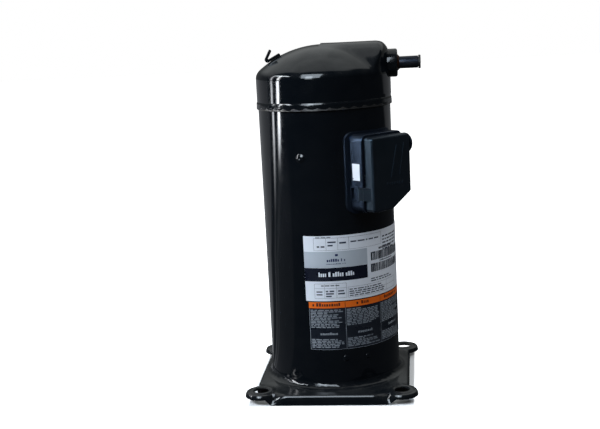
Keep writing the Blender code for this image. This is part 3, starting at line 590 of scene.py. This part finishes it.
def shell():
    """The drawn tube, open for the suction and the terminal."""
    inner, low, high = SHELL_R - 3.5, SHELL_LOW, SHELL_HIGH - 0.2
    edges = [(inner, low), (SHELL_R, low), (SHELL_R, high), (inner, high)]
    tube = solid("shell_tube", lathe(edges, 192))
    suction = solid("suction_cut", drum(SUCTION_R + 0.3, 70.0, 110.0, 64), ALONG_Y)
    terminal = solid("terminal_cut", drum(15.5, 70.0, 110.0, 64), AT_TERMINAL)
    carve(tube, suction, terminal)
    piece(tube, "gloss_paint", stands_for=("main_shell",), flat_faces=True)


def plug_weld(name, angle, height, radius, crown):
    """A round weld spot on the shell: a low cone with a rounded edge and a dimple."""
    steps = 48
    edge = radius * 0.96
    cone = [(radius * 0.16, crown * 0.72), (radius * 0.26, crown * 0.96), (radius * 0.36, crown)]
    cone += [(radius * 0.5, crown * 0.88), (radius * 0.88, crown * 0.16), (edge, 0.0), (radius, -0.5)]
    shaped, faces = lathe(cone, steps, ring=False)
    centre = len(shaped)
    shaped.append((0.0, 0.0, crown * 0.62))
    faces += [(centre, j, (j + 1) % steps) for j in range(steps)]
    moved = []
    for across, up, lift in shaped:
        bend = radians(angle) + across / SHELL_R
        moved.append(around(bend, SHELL_R + lift + 0.05, height + up))
    make(name, (moved, faces), "gloss_paint", sharp=80.0)


def plug_welds():
    plug_weld("plug_weld_1", -17.2, 329.5, 6.6, 1.5)
    plug_weld("plug_weld_2", 14.1, 55.6, 4.4, 1.0)
    plug_weld("plug_weld_3", 34.3, 54.9, 3.8, 0.9)


# Base


def base_outline(distance):
    """The tray's outline moved in: straight sides, with a round foot at each corner."""
    radius = FOOT_R - distance
    side = BASE_HALF_X - distance - FOOT_AT
    front = BASE_HALF_Y - distance - FOOT_AT
    start = -degrees(acos(side / radius))
    end = 90.0 + degrees(acos(front / radius))
    quarter = arc(radius, start, end, 30, (FOOT_AT, FOOT_AT))
    mirrored = [(-x, y) for x, y in reversed(quarter)]
    corners = quarter + mirrored + [(-x, -y) for x, y in quarter + mirrored]
    points = []
    for i, corner in enumerate(corners):
        following = Vector(corners[(i + 1) % len(corners)])
        straight = (i + 1) % len(quarter) == 0
        steps = max(1, round((following - Vector(corner)).length / 4.0)) if straight else 1
        points += [tuple(Vector(corner).lerp(following, step / steps)) for step in range(steps)]
    return points


def smooth(value, low, high):
    """A smooth step from 0 to 1."""
    share = min(max((value - low) / (high - low), 0.0), 1.0)
    return share * share * (3 - 2 * share)


def edge_distance(x, y, outline):
    """How far inside the outline a point is."""
    start = np.array(outline)
    along = np.roll(start, -1, axis=0) - start
    from_start = np.array((x, y)) - start
    share = np.clip((from_start * along).sum(1) / (along**2).sum(1), 0, 1)
    return float(np.hypot(*(from_start - along * share[:, None]).T).min())


def from_foot(x, y):
    """How far a point is from the middle of the nearest foot."""
    return hypot(abs(x) - FOOT_AT, abs(y) - FOOT_AT)


def tray_height(x, y, outline):
    """The pressed tray's upper face: turned down at its edges, creased at the corners, ringed at the feet."""
    away = from_foot(x, y)
    drop = FOOT_LIP + (BASE_TOP - FOOT_LIP) * smooth(away, FOOT_R - 0.6, FOOT_R + 3.5)
    on_front = abs(y) - BASE_HALF_Y > abs(x) - BASE_HALF_X
    crease = smooth(abs(x) if on_front else abs(y), 60.0, 84.0) * smooth(away, FOOT_R - 2.0, FOOT_R + 3.0)
    width = 4.6 + 9.0 * crease
    share = min(edge_distance(x, y, outline) / width, 1.0)
    fall = (1 - crease) * (1 - sqrt(1 - (1 - share) ** 4)) + crease * (1 - share)
    ring = smooth(away, FOOT_HOLE_R, FOOT_HOLE_R + 2.0) - smooth(away, 15.5, 18.0)
    web = 0.9 * smooth(away, 20.0, 34.0) * (1 - smooth(hypot(x, y), 100.0, 118.0))
    return BASE_TOP - drop * fall + 1.3 * ring * (away < 18.5) + web


def tray_shape():
    outline = base_outline(0.0)
    loops = [base_outline(distance) for distance in (0.0, 0.15, 0.5, 1.0, 1.8, 2.8, 4.2)]
    middle = 84.0
    loops.append(circle(middle, 120))
    for x, y in ((FOOT_AT, FOOT_AT), (-FOOT_AT, FOOT_AT), (-FOOT_AT, -FOOT_AT), (FOOT_AT, -FOOT_AT)):
        for radius in (FOOT_HOLE_R, 10.4, 11.4, 12.6, 14.5, 15.8, 16.8, 17.8):
            loops.append(circle(radius, 48, (x, y)))
    points, edges = [], []
    for loop in loops:
        first = len(points)
        points += loop
        edges += [(first + i, first + (i + 1) % len(loop)) for i in range(len(loop))]
    spacing = 3.6
    for i in range(-33, 34):
        for j in range(-33, 34):
            x, y = i * spacing, j * spacing
            away = from_foot(x, y)
            in_foot = 18.6 < away < FOOT_R - 5.5
            in_tray = abs(x) < BASE_HALF_X - 6.0 and abs(y) < BASE_HALF_Y - 6.0
            if in_foot or (in_tray and away > 18.6 and hypot(x, y) > middle + 2.0):
                points.append((x, y))
    flat, _, faces, *_ = delaunay_2d_cdt([Vector(p) for p in points], edges, [], 0, 0.0001)
    shown = []
    for face in faces:
        centre = sum((flat[i] for i in face), Vector((0.0, 0.0))) / len(face)
        away = from_foot(*centre)
        in_sides = abs(centre.x) < BASE_HALF_X and abs(centre.y) < BASE_HALF_Y
        past_sides = abs(centre.x) > BASE_HALF_X or abs(centre.y) > BASE_HALF_Y
        if away > FOOT_HOLE_R and centre.length > middle - 0.1 and (away < FOOT_R or in_sides):
            if away < FOOT_R * cos(radians(3.0)) or not past_sides:
                shown.append(tuple(face))
    return [(p.x, p.y, tray_height(p.x, p.y, outline)) for p in flat], shown


def base():
    """The tray, the sump's dish in its middle and the weld round the shell."""
    about = {"stands_for": ("base_plate",), "thickness": BASE_SHEET}
    tray = make("base_tray", tray_shape(), "base_paint", fix=False, **about)
    lowest = 0.1 * MM
    for vertex in tray.data.vertices:
        vertex.co.z = max(vertex.co.z, lowest)
    dish = [(0.0, 4.2), (66.0, 4.2), (73.0, 7.6), (78.5, 12.2), (88.0, 12.4), (88.0, 10.2)]
    dish += [(79.5, 9.8), (74.5, 6.0), (67.5, 0.6), (64.0, 0.2), (0.0, 0.2)]
    make("sump_dish", lathe(dish, 120, ring=False), "base_paint")
    fillet = arc(9.4, 184.0, 266.0, 10, (SHELL_R + 9.6, 23.6))
    section = fillet + [(SHELL_R + 9.2, 12.6), (SHELL_R - 0.6, 12.6), (SHELL_R - 0.6, 22.6)]
    make("base_weld", lathe(section, 360, wander=ripple(0.3, 5, (23, 41, 67, 9))), "weld_paint", sharp=70.0)


# Connections


def connection(name, place, axis, stub, collar, braze, tube_finish):
    """The fitting, the stub with the braze at its root, and the shipping plug.

    stub is its radius, start, end and steps; collar is its start, radius and rounding; braze is its
    foot's and shoulder's radius, its shoulder's and whole height, rounding, steps and wander.
    """
    radius, start, end, steps = stub
    bore = radius + 0.1
    face = span(name + "_fitting")[1][axis]
    low, wide, curve = collar
    corners = [(bore, low), (wide, low), (wide, face), (bore, face)]
    shape = lathe(rounded(corners, [0.5, 0.5, curve, 0.6], 6), 96)
    make(name + "_collar", shape, "base_paint", place, stands_for=(name + "_fitting",))
    foot, shoulder, rise, height, curve, braze_steps, wander = braze
    corners = [(bore - 0.4, face - 1.5), (foot, face - 1.5), (shoulder, face + rise)]
    corners += [(bore + 0.3, face + height), (bore - 0.4, face + height)]
    shape = lathe(rounded(corners, [0.3, 0.4, curve, 0.3, 0.1], 5), braze_steps, wander=wander)
    make(name + "_braze", shape, "braze_copper", place)
    corners = [(radius - 1.6, start), (radius, start), (radius, end), (radius - 1.6, end)]
    shape = lathe(rounded(corners, [0.3] * 4, 3), steps)
    make(name + "_tube", shape, tube_finish, place, stands_for=(name + "_stub",))
    shipping_plug(name, radius, end, place, axis)


def shipping_plug(name, radius, end, place, axis):
    """A rubber plug: a flanged head, and ribs on the shank that grips inside the stub."""
    node = name + "_plug"
    outer = span(node)[1][axis] - 0.1
    head = radius + 0.95
    inner = radius - 1.9
    start = span(node)[0][axis] + 0.2
    profile = [(0.0, outer - 0.8), (head - 2.4, outer - 0.6), (head - 1.8, outer)]
    profile += arc(0.9, 90.0, 0.0, 5, (head - 0.9, outer - 0.9))
    profile += [(head, end + 0.7), (head - 0.4, end + 0.3), (inner, end + 0.3)]
    ribs = 3
    pitch = (end - start - 4.0) / ribs
    for i in range(ribs):
        at = end - 1.5 - i * pitch
        profile += [(inner, at), (inner - 0.5, at - pitch * 0.6)]
    profile += [(inner - 1.0, start + 0.8), (inner - 1.8, start), (0.0, start)]
    make(name + "_cap", lathe(profile, 72, ring=False), "plug_rubber", place, body=node, stands_for=(node,))


def connections():
    braze = (12.0, 11.0, 0.4, 2.8, 0.9, 64, ripple(0.5, 11, (3, 5, 7, 11)))
    stub = (STUB_R, STUB_LOW.x, STUB_HIGH.x, 64)
    connection("discharge", ALONG_X, 0, stub, (84.0, 19.0, 2.6), braze, "stub_steel")
    braze = (20.4, 19.0, 0.6, 5.0, 1.8, 72, ripple(0.5, 13, (3, 5, 8, 11)))
    stub = (SUCTION_R, SUCTION_LOW.y, SUCTION_HIGH.y, 80)
    connection("suction", ALONG_Y, 1, stub, (82.0, 24.0, 3.0), braze, "copper_tube")


# Terminal box


def box_loop(sides, corner, distance, depth):
    """The box's outline at a depth: a rectangle with its lower right corner cut away, moved in."""
    left, right, low, high = sides
    corners = [(left, low), (right - CORNER_CUT[0], low), (right, low + CORNER_CUT[1]), (right, high)]
    corners.append((left, high))
    curve = max(corner - distance, 0.8)
    outline = rounded(inset(corners, distance), [curve, 2.0, 2.0, curve, curve], 8)
    return [(across, up, depth) for across, up in outline]


def edge_loops(sides, corner, radius, start, face):
    """Loops up a wall and round its front edge."""
    loops = [box_loop(sides, corner, 0.0, start)]
    for out, along in arc(radius, 0.0, 90.0, 6):
        loops.append(box_loop(sides, corner, radius - out, face - radius + along))
    return loops


def terminal_box():
    """The moulded housing: a tray with a flange that fits round the shell, recessed for its catch."""
    corner = 9.0
    draft = 1.3
    ledge = 89.5
    walls = ((draft, 60.0), (draft, ledge - 1.6), (draft * 0.3, ledge - 0.5))
    loops = [box_loop(BOX, corner, distance, depth) for distance, depth in walls]
    loops += edge_loops(BOX, corner, 1.4, ledge + 0.4, BOX_MOUTH)
    housing = solid("housing", loft(loops), IN_BOX)
    wide = (BOX[0] - 4.5, BOX[1] + 2.5, BOX[2] - 2.5, BOX[3] + 3.0)
    flange = solid("flange", loft([box_loop(wide, 12.0, 0.0, depth) for depth in (60.0, 99.0)]), IN_BOX)
    carve(flange, solid("flange_face", drum(SHELL_R + 3.3, 230.0, 385.0)), operation="INTERSECT")
    carve(housing, flange, operation="UNION")
    inside = [box_loop(BOX, corner, 2.6 + draft, depth) for depth in (70.0, 116.0)]
    pocket = solid("pocket", loft(inside), IN_BOX)
    carve(pocket, solid("pocket_back", drum(SHELL_R + 3.4, 230.0, 385.0)))
    window = solid("window", drum(22.0, 80.0, 104.0, 64), AT_TERMINAL)
    saddle = solid("saddle", drum(SHELL_R + 0.25, 220.0, 390.0))
    hook = on_left("hook_recess", (-3.0, 303.0, 86.6), (1.8, 313.0, 91.0), 0.4)
    carve(housing, pocket, window, saddle, catch_recess(), hook)
    piece(housing, "box_plastic", stands_for=("terminal_box",), flat_faces=True, sharp=40.0)


def slab(lows, highs, radius):
    """A block facing left and right with its edges rounded off, between two corners."""
    near, left, bottom = lows
    far, right, top = highs
    corners = [(left, bottom), (right, bottom), (right, top), (left, top)]
    loops = []
    for out, along in arc(radius, -90.0, 0.0, 4) + arc(radius, 0.0, 90.0, 4):
        depth = (near + radius if along < 0 else far - radius) + along
        distance = radius - out
        outline = rounded(inset(corners, distance), [max(radius * 1.5 - distance, 0.2)] * 4, 4)
        loops.append([(depth, across, up) for across, up in outline])
    return loft(loops)


def on_left(name, lows, highs, radius):
    """A slab placed from the housing's left side."""
    low, high = ((BOX[0] + out, up, depth) for out, up, depth in (lows, highs))
    return solid(name, slab(low, high, radius), IN_BOX)


def catch_recess():
    return on_left("catch_recess", (-3.0, 272.4, 88.6), (2.2, 289.4, 100.8), 0.4)


def box_details():
    """The sticker and the latch's catch on the housing's left side, and the knock-out on its right."""
    piece(on_left("box_sticker", (-0.18, 299.0, 91.8), (0.1, 321.0, 105.4), 0.08), "film_white")
    catch = on_left("latch_catch", (-0.9, 270.8, 87.2), (1.0, 291.0, 102.0), 0.4)
    carve(catch, catch_recess())
    piece(catch, "box_plastic", flat_faces=True)
    piece(on_left("hook_ridge", (-0.7, 300.6, 85.8), (0.6, 302.0, 93.6), 0.3), "box_plastic")
    disc = [(0.0, 3.6), (4.0, 3.6), (4.6, 2.9), (9.6, 2.9), (10.2, 3.6), (13.5, 3.6), (13.5, 0.1), (0.0, 0.1)]
    shape = lathe(rounded(disc, [0.02, 0.2, 0.3, 0.3, 0.2, 0.9, 0.2, 0.02], 3), 72, ring=False)
    place = IN_BOX @ Matrix.Translation((BOX[1], 341.0, 112.5)) @ rotation(90.0, "Y")
    make("knockout_disc", shape, "box_plastic", place, stands_for=("conduit_knockout",))


def latch_shape():
    """The cover's latch: a tab outside the housing, with a slope up to the cover's side."""
    side, edge = COVER[0] + 1.5, BOX[0] - 0.3
    outer = BOX[0] - 1.6
    rim = COVER_RIM + 0.1
    corners = [(outer, 102.4), (edge, 102.4), (edge, rim), (side, rim), (side, 121.0)]
    corners += [(COVER[0] - 0.1, 121.0), (outer, 106.5)]
    return loft([[(across, up, depth) for across, depth in corners] for up in (273.0, 290.0)])


def terminal_cover():
    """The snap-on cover, and as a piece of its own the latch on its left side."""
    wall = 2.2
    inside = [box_loop(COVER, 4.0, wall, COVER_FACE - wall), box_loop(COVER, 4.0, wall, COVER_RIM)]
    loops = inside + edge_loops(COVER, 4.0, 3.2, COVER_RIM, COVER_FACE)
    cover = solid("cover_tray", loft(loops), IN_BOX)
    piece(cover, "cover_plastic", "terminal_cover", ("terminal_cover",), flat_faces=True, sharp=40.0)
    make("cover_latch", latch_shape(), "cover_plastic", IN_BOX, body="terminal_cover", flat_faces=True)
    emboss()


def emboss():
    """A plain moulded mark on the cover's face: two slanted ribs over a row of short bars."""
    bars = [(-1.0, 300.0, 11.0, 42.0), (15.0, 303.0, 9.0, 41.0)]
    bars += [(-9.0 + 4.6 * i, 290.5, 0.8, 4.0) for i in range(7)]
    points, faces = [], []
    for across, up, lean, tall in bars:
        loops = []
        for drawn, lift in ((0.0, -0.5), (0.0, 0.15), (0.35, 0.45)):
            half = 1.0 - drawn
            foot, top = up + drawn, up + tall - drawn
            corners = ((across - half, foot), (across + half, foot), (across + lean + half, top))
            corners += ((across + lean - half, top),)
            loops.append([(*corner, COVER_FACE + lift) for corner in corners])
        more, shown = loft(loops)
        faces += [tuple(i + len(points) for i in quad) for quad in shown]
        points += more
    make("cover_mark", (points, faces), "cover_plastic", IN_BOX, body="terminal_cover", flat_faces=True)


# Labels


def wrapped(patches, radius):
    """Flat sheets bent round the shell, each given by its angles and its lowest and highest point."""
    points, faces = [], []
    for start, end, low, high in patches:
        steps = max(1, round((end - start) / 1.5))
        first = len(points)
        for i in range(steps + 1):
            turn = radians(start + (end - start) * i / steps)
            points += [around(turn, radius, z) for z in (low, high)]
        faces += [(at, at + 2, at + 3, at + 1) for at in range(first, first + 2 * steps, 2)]
    return points, faces


def film(name, node, finish_name, start, low, high):
    sheet = wrapped([(start, LABEL_END, low + 0.2, high - 0.2)], LABEL_R)
    make(name, sheet, finish_name, fix=False, stands_for=(node,), thickness=0.25)


def printed(name, patches, ink, lift=0.0):
    """A layer of print over a label's film."""
    make(name, wrapped(patches, INK_R + lift), ink, fix=False)


def words(draw, start, end, low, high, pitch, share=0.45, fill=1.0):
    """Rows of short bars, which stand for small print."""
    patches = []
    row = high - pitch
    while row > low:
        at = start
        stop = start + (end - start) * (1.0 if draw.random() < fill else draw.uniform(0.35, 0.8))
        while at < stop:
            width = draw.uniform(1.0, 4.2) * share * pitch / 1.1
            if at + width < end:
                patches.append((at, at + width, row, row + pitch * share))
            at += width + 0.5 * pitch * share + 0.25
        row -= pitch
    return patches


def bar_code(draw, start, end, low, high):
    patches = []
    at = start
    while at < end:
        width = draw.uniform(0.7, 1.7)
        patches.append((at, at + width, low, high))
        at += width + draw.uniform(0.3, 0.8)
    return patches


def lettering(draw, start, end, low, high, pitch):
    """A row of plain bars of uneven height and width, which stands for a printed title."""
    patches = []
    at = start
    while at + pitch * 0.5 < end:
        width = pitch * draw.uniform(0.45, 0.8)
        top = low + (high - low) * draw.choice((0.72, 0.72, 0.78, 1.0))
        patches.append((at, min(at + width, end), low, top))
        at += width + pitch * (0.9 if draw.random() < 0.08 else 0.26)
    return patches


def table_lines(columns, rows):
    """Thin lines along a table's columns and rows."""
    width = 0.28
    thick = 57.3 * width / SHELL_R
    upright = [(at, at + thick, rows[0], rows[-1]) for at in columns]
    return upright + [(columns[0], columns[-1] + thick, at, at + width) for at in rows]


def nameplate():
    """The white film with its grey panel, dark band, tables and bar codes."""
    draw = random.Random(21)
    film("nameplate_film", "nameplate_label", "film_white", LABEL_START, LABEL_LOW, LABEL_HIGH)
    start = LABEL_START + 0.05
    printed("nameplate_panel", [(start, 37.0, 182.6, 204.6)], "film_panel")
    printed("nameplate_band", [(start, 36.8, 164.2, 182.4)], "ink_black", 0.02)
    light = lettering(draw, -6.1, 24.8, 170.4, 176.6, 2.1)
    printed("band_mark", light, "film_white", 0.06)
    name = lettering(draw, 1.3, 17.9, 190.6, 194.6, 1.9) + lettering(draw, 1.0, 18.2, 187.0, 188.4, 1.3)
    name += [(8.4, 10.8, 198.0, 201.0)]
    printed("panel_mark", name, "ink_blue", 0.02)
    lines = table_lines((-9.2, 1.2, 11.0, 20.4, 53.0), (206.2, 222.6))
    lines += table_lines((-10.2, -1.7, 8.4, 16.8), (140.8, 154.2, 160.6))
    lines += table_lines((18.2, 36.0, 58.5, 74.0), (140.4, 147.6, 154.6))
    printed("nameplate_lines", lines, "ink_grey")
    small = []
    for row in (
        (-7.5, 8.0, 222.8, 225.6, 2.4), (-6.5, 0.0, 209.0, 219.5, 4.6, 0.45, 0.4),
        (2.6, 10.0, 209.5, 220.6, 4.4, 0.45, 0.7), (12.4, 19.0, 207.5, 219.8, 5.2, 0.45, 0.4),
        (22.0, 52.0, 214.8, 219.4, 4.0, 0.45, 0.5), (55.0, 82.0, 196.5, 219.0, 4.4, 0.45, 0.6),
        (-8.6, -3.0, 141.6, 152.6, 3.8, 0.45, 0.5), (-0.6, 7.4, 141.6, 152.8, 3.4, 0.55),
        (9.6, 15.6, 141.8, 153.2, 3.8, 0.5, 0.6), (-4.5, 12.5, 155.0, 160.0, 2.6, 0.5),
        (19.4, 57.0, 141.2, 153.6, 2.9, 0.5, 0.5), (40.0, 76.0, 155.5, 163.5, 3.0, 0.5, 0.4),
        (41.5, 46.5, 178.6, 183.0, 3.4, 0.5), (41.5, 46.5, 195.0, 199.4, 3.4, 0.5),
    ):
        small += words(draw, *row)
    printed("nameplate_print", small, "ink_grey", 0.02)
    codes = bar_code(draw, 40.8, 88.0, 186.2, 197.6) + bar_code(draw, 40.5, 82.0, 170.2, 181.4)
    codes += lettering(draw, 49.9, 70.0, 199.6, 203.4, 2.0) + lettering(draw, 50.5, 70.0, 183.0, 185.0, 1.8)
    printed("nameplate_codes", codes, "ink_black", 0.02)


def care_label():
    """The lower film: an orange strip over three columns of small print on a dark ground."""
    draw = random.Random(34)
    first = -15.9
    film("care_film", "care_label", "film_dark", first, CARE_LOW, CARE_HIGH)
    printed("care_strip", [(first, LABEL_END, 127.0, CARE_HIGH - 0.2)], "ink_orange")
    columns = (first, 15.0, 49.2, 83.5)
    bars = []
    for start, end in ((-12.7, -10.6), (-9.4, 10.8), (25.0, 28.0), (29.4, 36.5), (54.6, 76.0)):
        bars += lettering(draw, start, end, 129.6, 134.2, 2.3)
    bars += [(edge - 0.1, edge + 0.25, 127.2, CARE_HIGH - 0.4) for edge in columns[1:3]]
    printed("care_strip_print", bars, "ink_brown", 0.03)
    pale = [(edge, edge + 0.35, CARE_LOW + 0.6, 126.8) for edge in columns[:3]]
    pale += [(first, LABEL_END, CARE_LOW + 0.3, CARE_LOW + 0.75)]
    splits = ((97.0, 86.4), (99.0, 86.8), (96.0, 86.8))
    for (start, end), (upper, lower) in zip(zip(columns, columns[1:]), splits):
        pale += words(draw, start + 1.2, end - 1.6, upper + 1.0, 125.6, 2.15, 0.62, 0.7)
        pale += words(draw, start + 1.2, end - 1.6, CARE_LOW + 1.4, lower - 1.6, 2.15, 0.62, 0.7)
        middle = (start + end) / 2
        pale += lettering(draw, middle - 6.5, middle + 8.5, 89.6, 93.2, 1.9)
    printed("care_print", pale, "ink_pale")


# Carried-over nodes


def inner_nodes():
    """Gives each node that still shows the finish of its own slot."""
    by_slot = {}
    for material, slot in FINISHES.values():
        by_slot.setdefault(slot, material)
    by_slot["dark_steel"] = FINISHES["dark_steel"][0]
    by_slot["copper"] = FINISHES["copper_tube"][0]
    for row in frame["record"]["subparts"]:
        node = frame["nodes"][row["node"]]
        if node.hide_render:
            continue
        if not node.material_slots:
            node.data.materials.append(None)
        for place in node.material_slots:
            place.link = "OBJECT"
            place.material = by_slot[row["material_slot"]]


# Stage


def by_ray(tree, seen, unseen):
    """One shader for what the camera sees, and another for light and reflections."""
    path = add(tree, "LightPath")
    mix = add(tree, "MixShader", {0: path.outputs["Is Camera Ray"], 1: unseen, 2: seen})
    return mix.outputs[0]


def step(tree, value, start, end, low=0.0, high=1.0):
    """A smooth step of a value from low to high."""
    return ranged(tree, value, start, end, low, high, interpolation_type="SMOOTHSTEP")


def turn_of(tree, split):
    """The angle in degrees from -Y towards +X."""
    turn = maths(tree, "ARCTAN2", split.outputs["X"], product(tree, split.outputs["Y"], -1.0))
    return maths(tree, "DEGREES", turn)


def streak(tree, turn, half, strength):
    """A soft-edged band of angles round zero."""
    size = maths(tree, "ABSOLUTE", turn)
    return product(tree, step(tree, size, half - 0.8, half + 0.8, 1.0, 0.0), strength)


def world():
    """A white backdrop for the camera; in the paint, a dim studio with a grey sweep behind the object."""
    scene_world = bpy.data.worlds.new("studio")
    bpy.context.scene.world = scene_world
    scene_world.use_nodes = True
    tree = scene_world.node_tree
    tree.nodes.clear()
    coords = add(tree, "TexCoord").outputs["Generated"]
    split = add(tree, "SeparateXYZ", {"Vector": coords})
    turn = turn_of(tree, split)
    left = step(tree, turn, -106.0, -99.0, 0.2, 0.0)
    right = step(tree, turn, 114.0, 126.0, 0.0, 0.17)
    height = split.outputs["Z"]
    higher = step(tree, height, 0.22, 0.55, 0.42, 2.7)
    low = step(tree, height, 0.84, 0.93, 1.0, 0.0)
    sweep = product(tree, product(tree, sum_of(tree, left, right), higher), low)
    overhead = step(tree, height, 0.82, 0.93, 0.0, 0.55)
    over = product(tree, overhead, step(tree, split.outputs["Y"], -0.26, -0.1))
    sweep = sum_of(tree, 0.014, sum_of(tree, sweep, over))
    white = add(tree, "Background", {"Color": (1.0, 1.0, 1.0, 1.0)})
    grey = add(tree, "Background", {"Color": (0.96, 1.0, 0.99, 1.0), "Strength": sweep})
    surface = by_ray(tree, white.outputs[0], grey.outputs[0])
    add(tree, "OutputWorld", {"Surface": surface})


def floor_glow(tree):
    """What the paint shows of the floor: painted reflections, bands of glow on the floor seen only by glossy
    rays, that stand for the sweep behind the object and the windows to its left.
    """
    coords = add(tree, "TexCoord").outputs["Object"]
    turn = turn_of(tree, add(tree, "SeparateXYZ", {"Vector": coords}))
    away = add(tree, "VectorMath", {"Vector": coords}, operation="LENGTH").outputs["Value"]
    # The bands swing round where the floor is nearer the object.
    near = maths(tree, "MINIMUM", maths(tree, "DIVIDE", 1.0, away), 1.1)
    back_left = step(tree, sum_of(tree, turn, near, 22.0), -102.0, -97.0, 0.27, 0.0)
    back_right = step(tree, sum_of(tree, turn, near, -50.0), 115.0, 123.0, 0.0, 0.16)
    in_window = sum_of(tree, sum_of(tree, turn, near, 24.0), 74.5)
    window = streak(tree, in_window, 2.5, step(tree, away, 2.2, 4.6, 0.15, 33.0))
    in_pane = sum_of(tree, sum_of(tree, turn, near, 16.0), 90.5)
    pane = streak(tree, in_pane, 2.0, step(tree, away, 1.3, 4.2, 0.2, 11.0))
    beside = streak(tree, sum_of(tree, turn, 80.0), 17.0, 0.06)
    wash = product(tree, beside, step(tree, away, 3.6, 2.4))
    glow = sum_of(tree, sum_of(tree, back_left, back_right), sum_of(tree, window, pane))
    return sum_of(tree, sum_of(tree, glow, wash), 0.015)


def floor():
    """A pale floor that glows; its glow is lower near the object and taken off close round its outline, so a
    painted shade darkens the floor there over its real shadow. In the paint, a dim one.
    """
    material = bpy.data.materials.new("pale_floor")
    material.use_nodes = True
    material.cycles.emission_sampling = "NONE"
    tree = material.node_tree
    tree.nodes.clear()
    spot = add(tree, "TexCoord").outputs["Object"]
    size = add(tree, "VectorMath", {0: spot}, operation="ABSOLUTE").outputs["Vector"]
    wider = add(tree, "VectorMath", {0: size, 1: (0.008, 0.0, 0.0)}, operation="ADD")
    sides = add(tree, "SeparateXYZ", {"Vector": wider.outputs["Vector"]})
    out = maths(tree, "MAXIMUM", sides.outputs["X"], sides.outputs["Y"])
    # No glow close round the base's outline: painted shade round the object's foot, over the lit floor's real
    # shadow.
    bare = step(tree, out, 0.1185, 0.1215)
    # Glow lower near the object than far off: painted shade round it.
    far = step(tree, out, 0.2, 1.0, 0.96, 1.1)
    lit = add(tree, "BsdfDiffuse", {"Color": (0.9, 0.9, 0.9, 1.0)})
    glow = add(tree, "Emission", {"Strength": product(tree, bare, far)})
    seen = add(tree, "AddShader", {0: lit.outputs[0], 1: glow.outputs[0]})
    dim = add(tree, "BsdfDiffuse", {"Color": (0.022, 0.023, 0.025, 1.0)})
    path = add(tree, "LightPath")
    # Painted reflections: the floor glows only for glossy rays, so the object's paint mirrors bands that no
    # lamp gives.
    shown = product(tree, floor_glow(tree), path.outputs["Is Glossy Ray"])
    mirrored = add(tree, "Emission", {"Color": (0.9, 0.94, 1.0, 1.0), "Strength": shown})
    unseen = add(tree, "AddShader", {0: dim.outputs[0], 1: mirrored.outputs[0]})
    surface = by_ray(tree, seen.outputs[0], unseen.outputs[0])
    add(tree, "OutputMaterial", {"Surface": surface})
    half = 12.0
    corners = [(-half, -half, 0), (half, -half, 0), (half, half, 0), (-half, half, 0)]
    mesh = bpy.data.meshes.new("floor")
    mesh.from_pydata(corners, [], [(0, 1, 2, 3)])
    mesh.materials.append(material)
    obj = linked("floor", mesh)
    obj.location.z = -0.0005


def light(name, angle, distance, height, aim, size, watts, colour, mirrored=True, lit=True):
    """A rectangular softbox in metres, facing its aim, that may only light or only be mirrored."""
    data = bpy.data.lights.new(name, "AREA")
    data.shape = "RECTANGLE"
    data.size, data.size_y = size
    data.energy = watts
    data.color = colour
    obj = linked(name, data)
    obj.location = around(radians(angle), distance, height)
    obj.rotation_euler = (Vector(aim) - obj.location).to_track_quat("-Z", "Y").to_euler()
    obj.visible_glossy = mirrored
    obj.visible_diffuse = lit


def lights():
    """Softboxes that light it and aren't mirrored, and bright shapes for the paint to mirror."""
    middle, knuckle, level = (0.0, 0.0, 0.25), (0.0, 0.0, 0.44), (0.0, 0.0, 1.02)
    light("key", -48.0, 1.7, 1.75, middle, (1.3, 0.9), 40.0, (0.8, 0.9, 1.0), False)
    light("front_fill", 25.0, 2.2, 2.3, middle, (1.4, 0.9), 29.0, (0.9, 0.95, 1.0), False)
    light("right_fill", 105.0, 2.0, 1.7, middle, (0.9, 0.7), 13.0, (0.97, 0.99, 1.0), False)
    light("softbox_left", -72.0, 2.0, 1.55, knuckle, (1.05, 0.22), 13.0, (0.86, 0.94, 1.0))
    light("softbox_front", -16.0, 2.0, 1.58, knuckle, (1.3, 1.6), 46.0, (0.78, 0.89, 1.0), lit=False)
    light("panel", -18.5, 2.0, 1.02, level, (0.42, 0.95), 9.0, (0.8, 0.91, 1.0), lit=False)
    light("window", -74.5, 2.0, 1.02, level, (0.175, 1.16), 12.0, (0.95, 0.97, 1.0))
    light("pane", -90.5, 2.0, 1.02, level, (0.14, 1.16), 3.9, (0.93, 0.95, 1.0))


def camera():
    """The long-lens view from just above the cap, turned a little off the front."""
    place = Matrix.Translation((0.1288, -1.3797, 0.4935))
    azimuth, elevation, roll = 7.04, 10.37, -3.0
    data = bpy.data.cameras.new("camera")
    data.lens = 60.0
    data.sensor_width = 36.0
    obj = linked("camera", data)
    turn = rotation(azimuth, "Z") @ rotation(90.0 - elevation, "X") @ rotation(roll, "Z")
    obj.matrix_world = place @ turn
    bpy.context.scene.camera = obj


def main():
    paint_finishes()
    plastic_finishes()
    metal_finishes()
    print_finishes()
    cap()
    lifting_lug()
    shell()
    plug_welds()
    base()
    connections()
    terminal_box()
    box_details()
    terminal_cover()
    nameplate()
    care_label()
    inner_nodes()
    world()
    floor()
    lights()
    camera()
    bpy.context.scene.view_settings.view_transform = "Standard"


main()
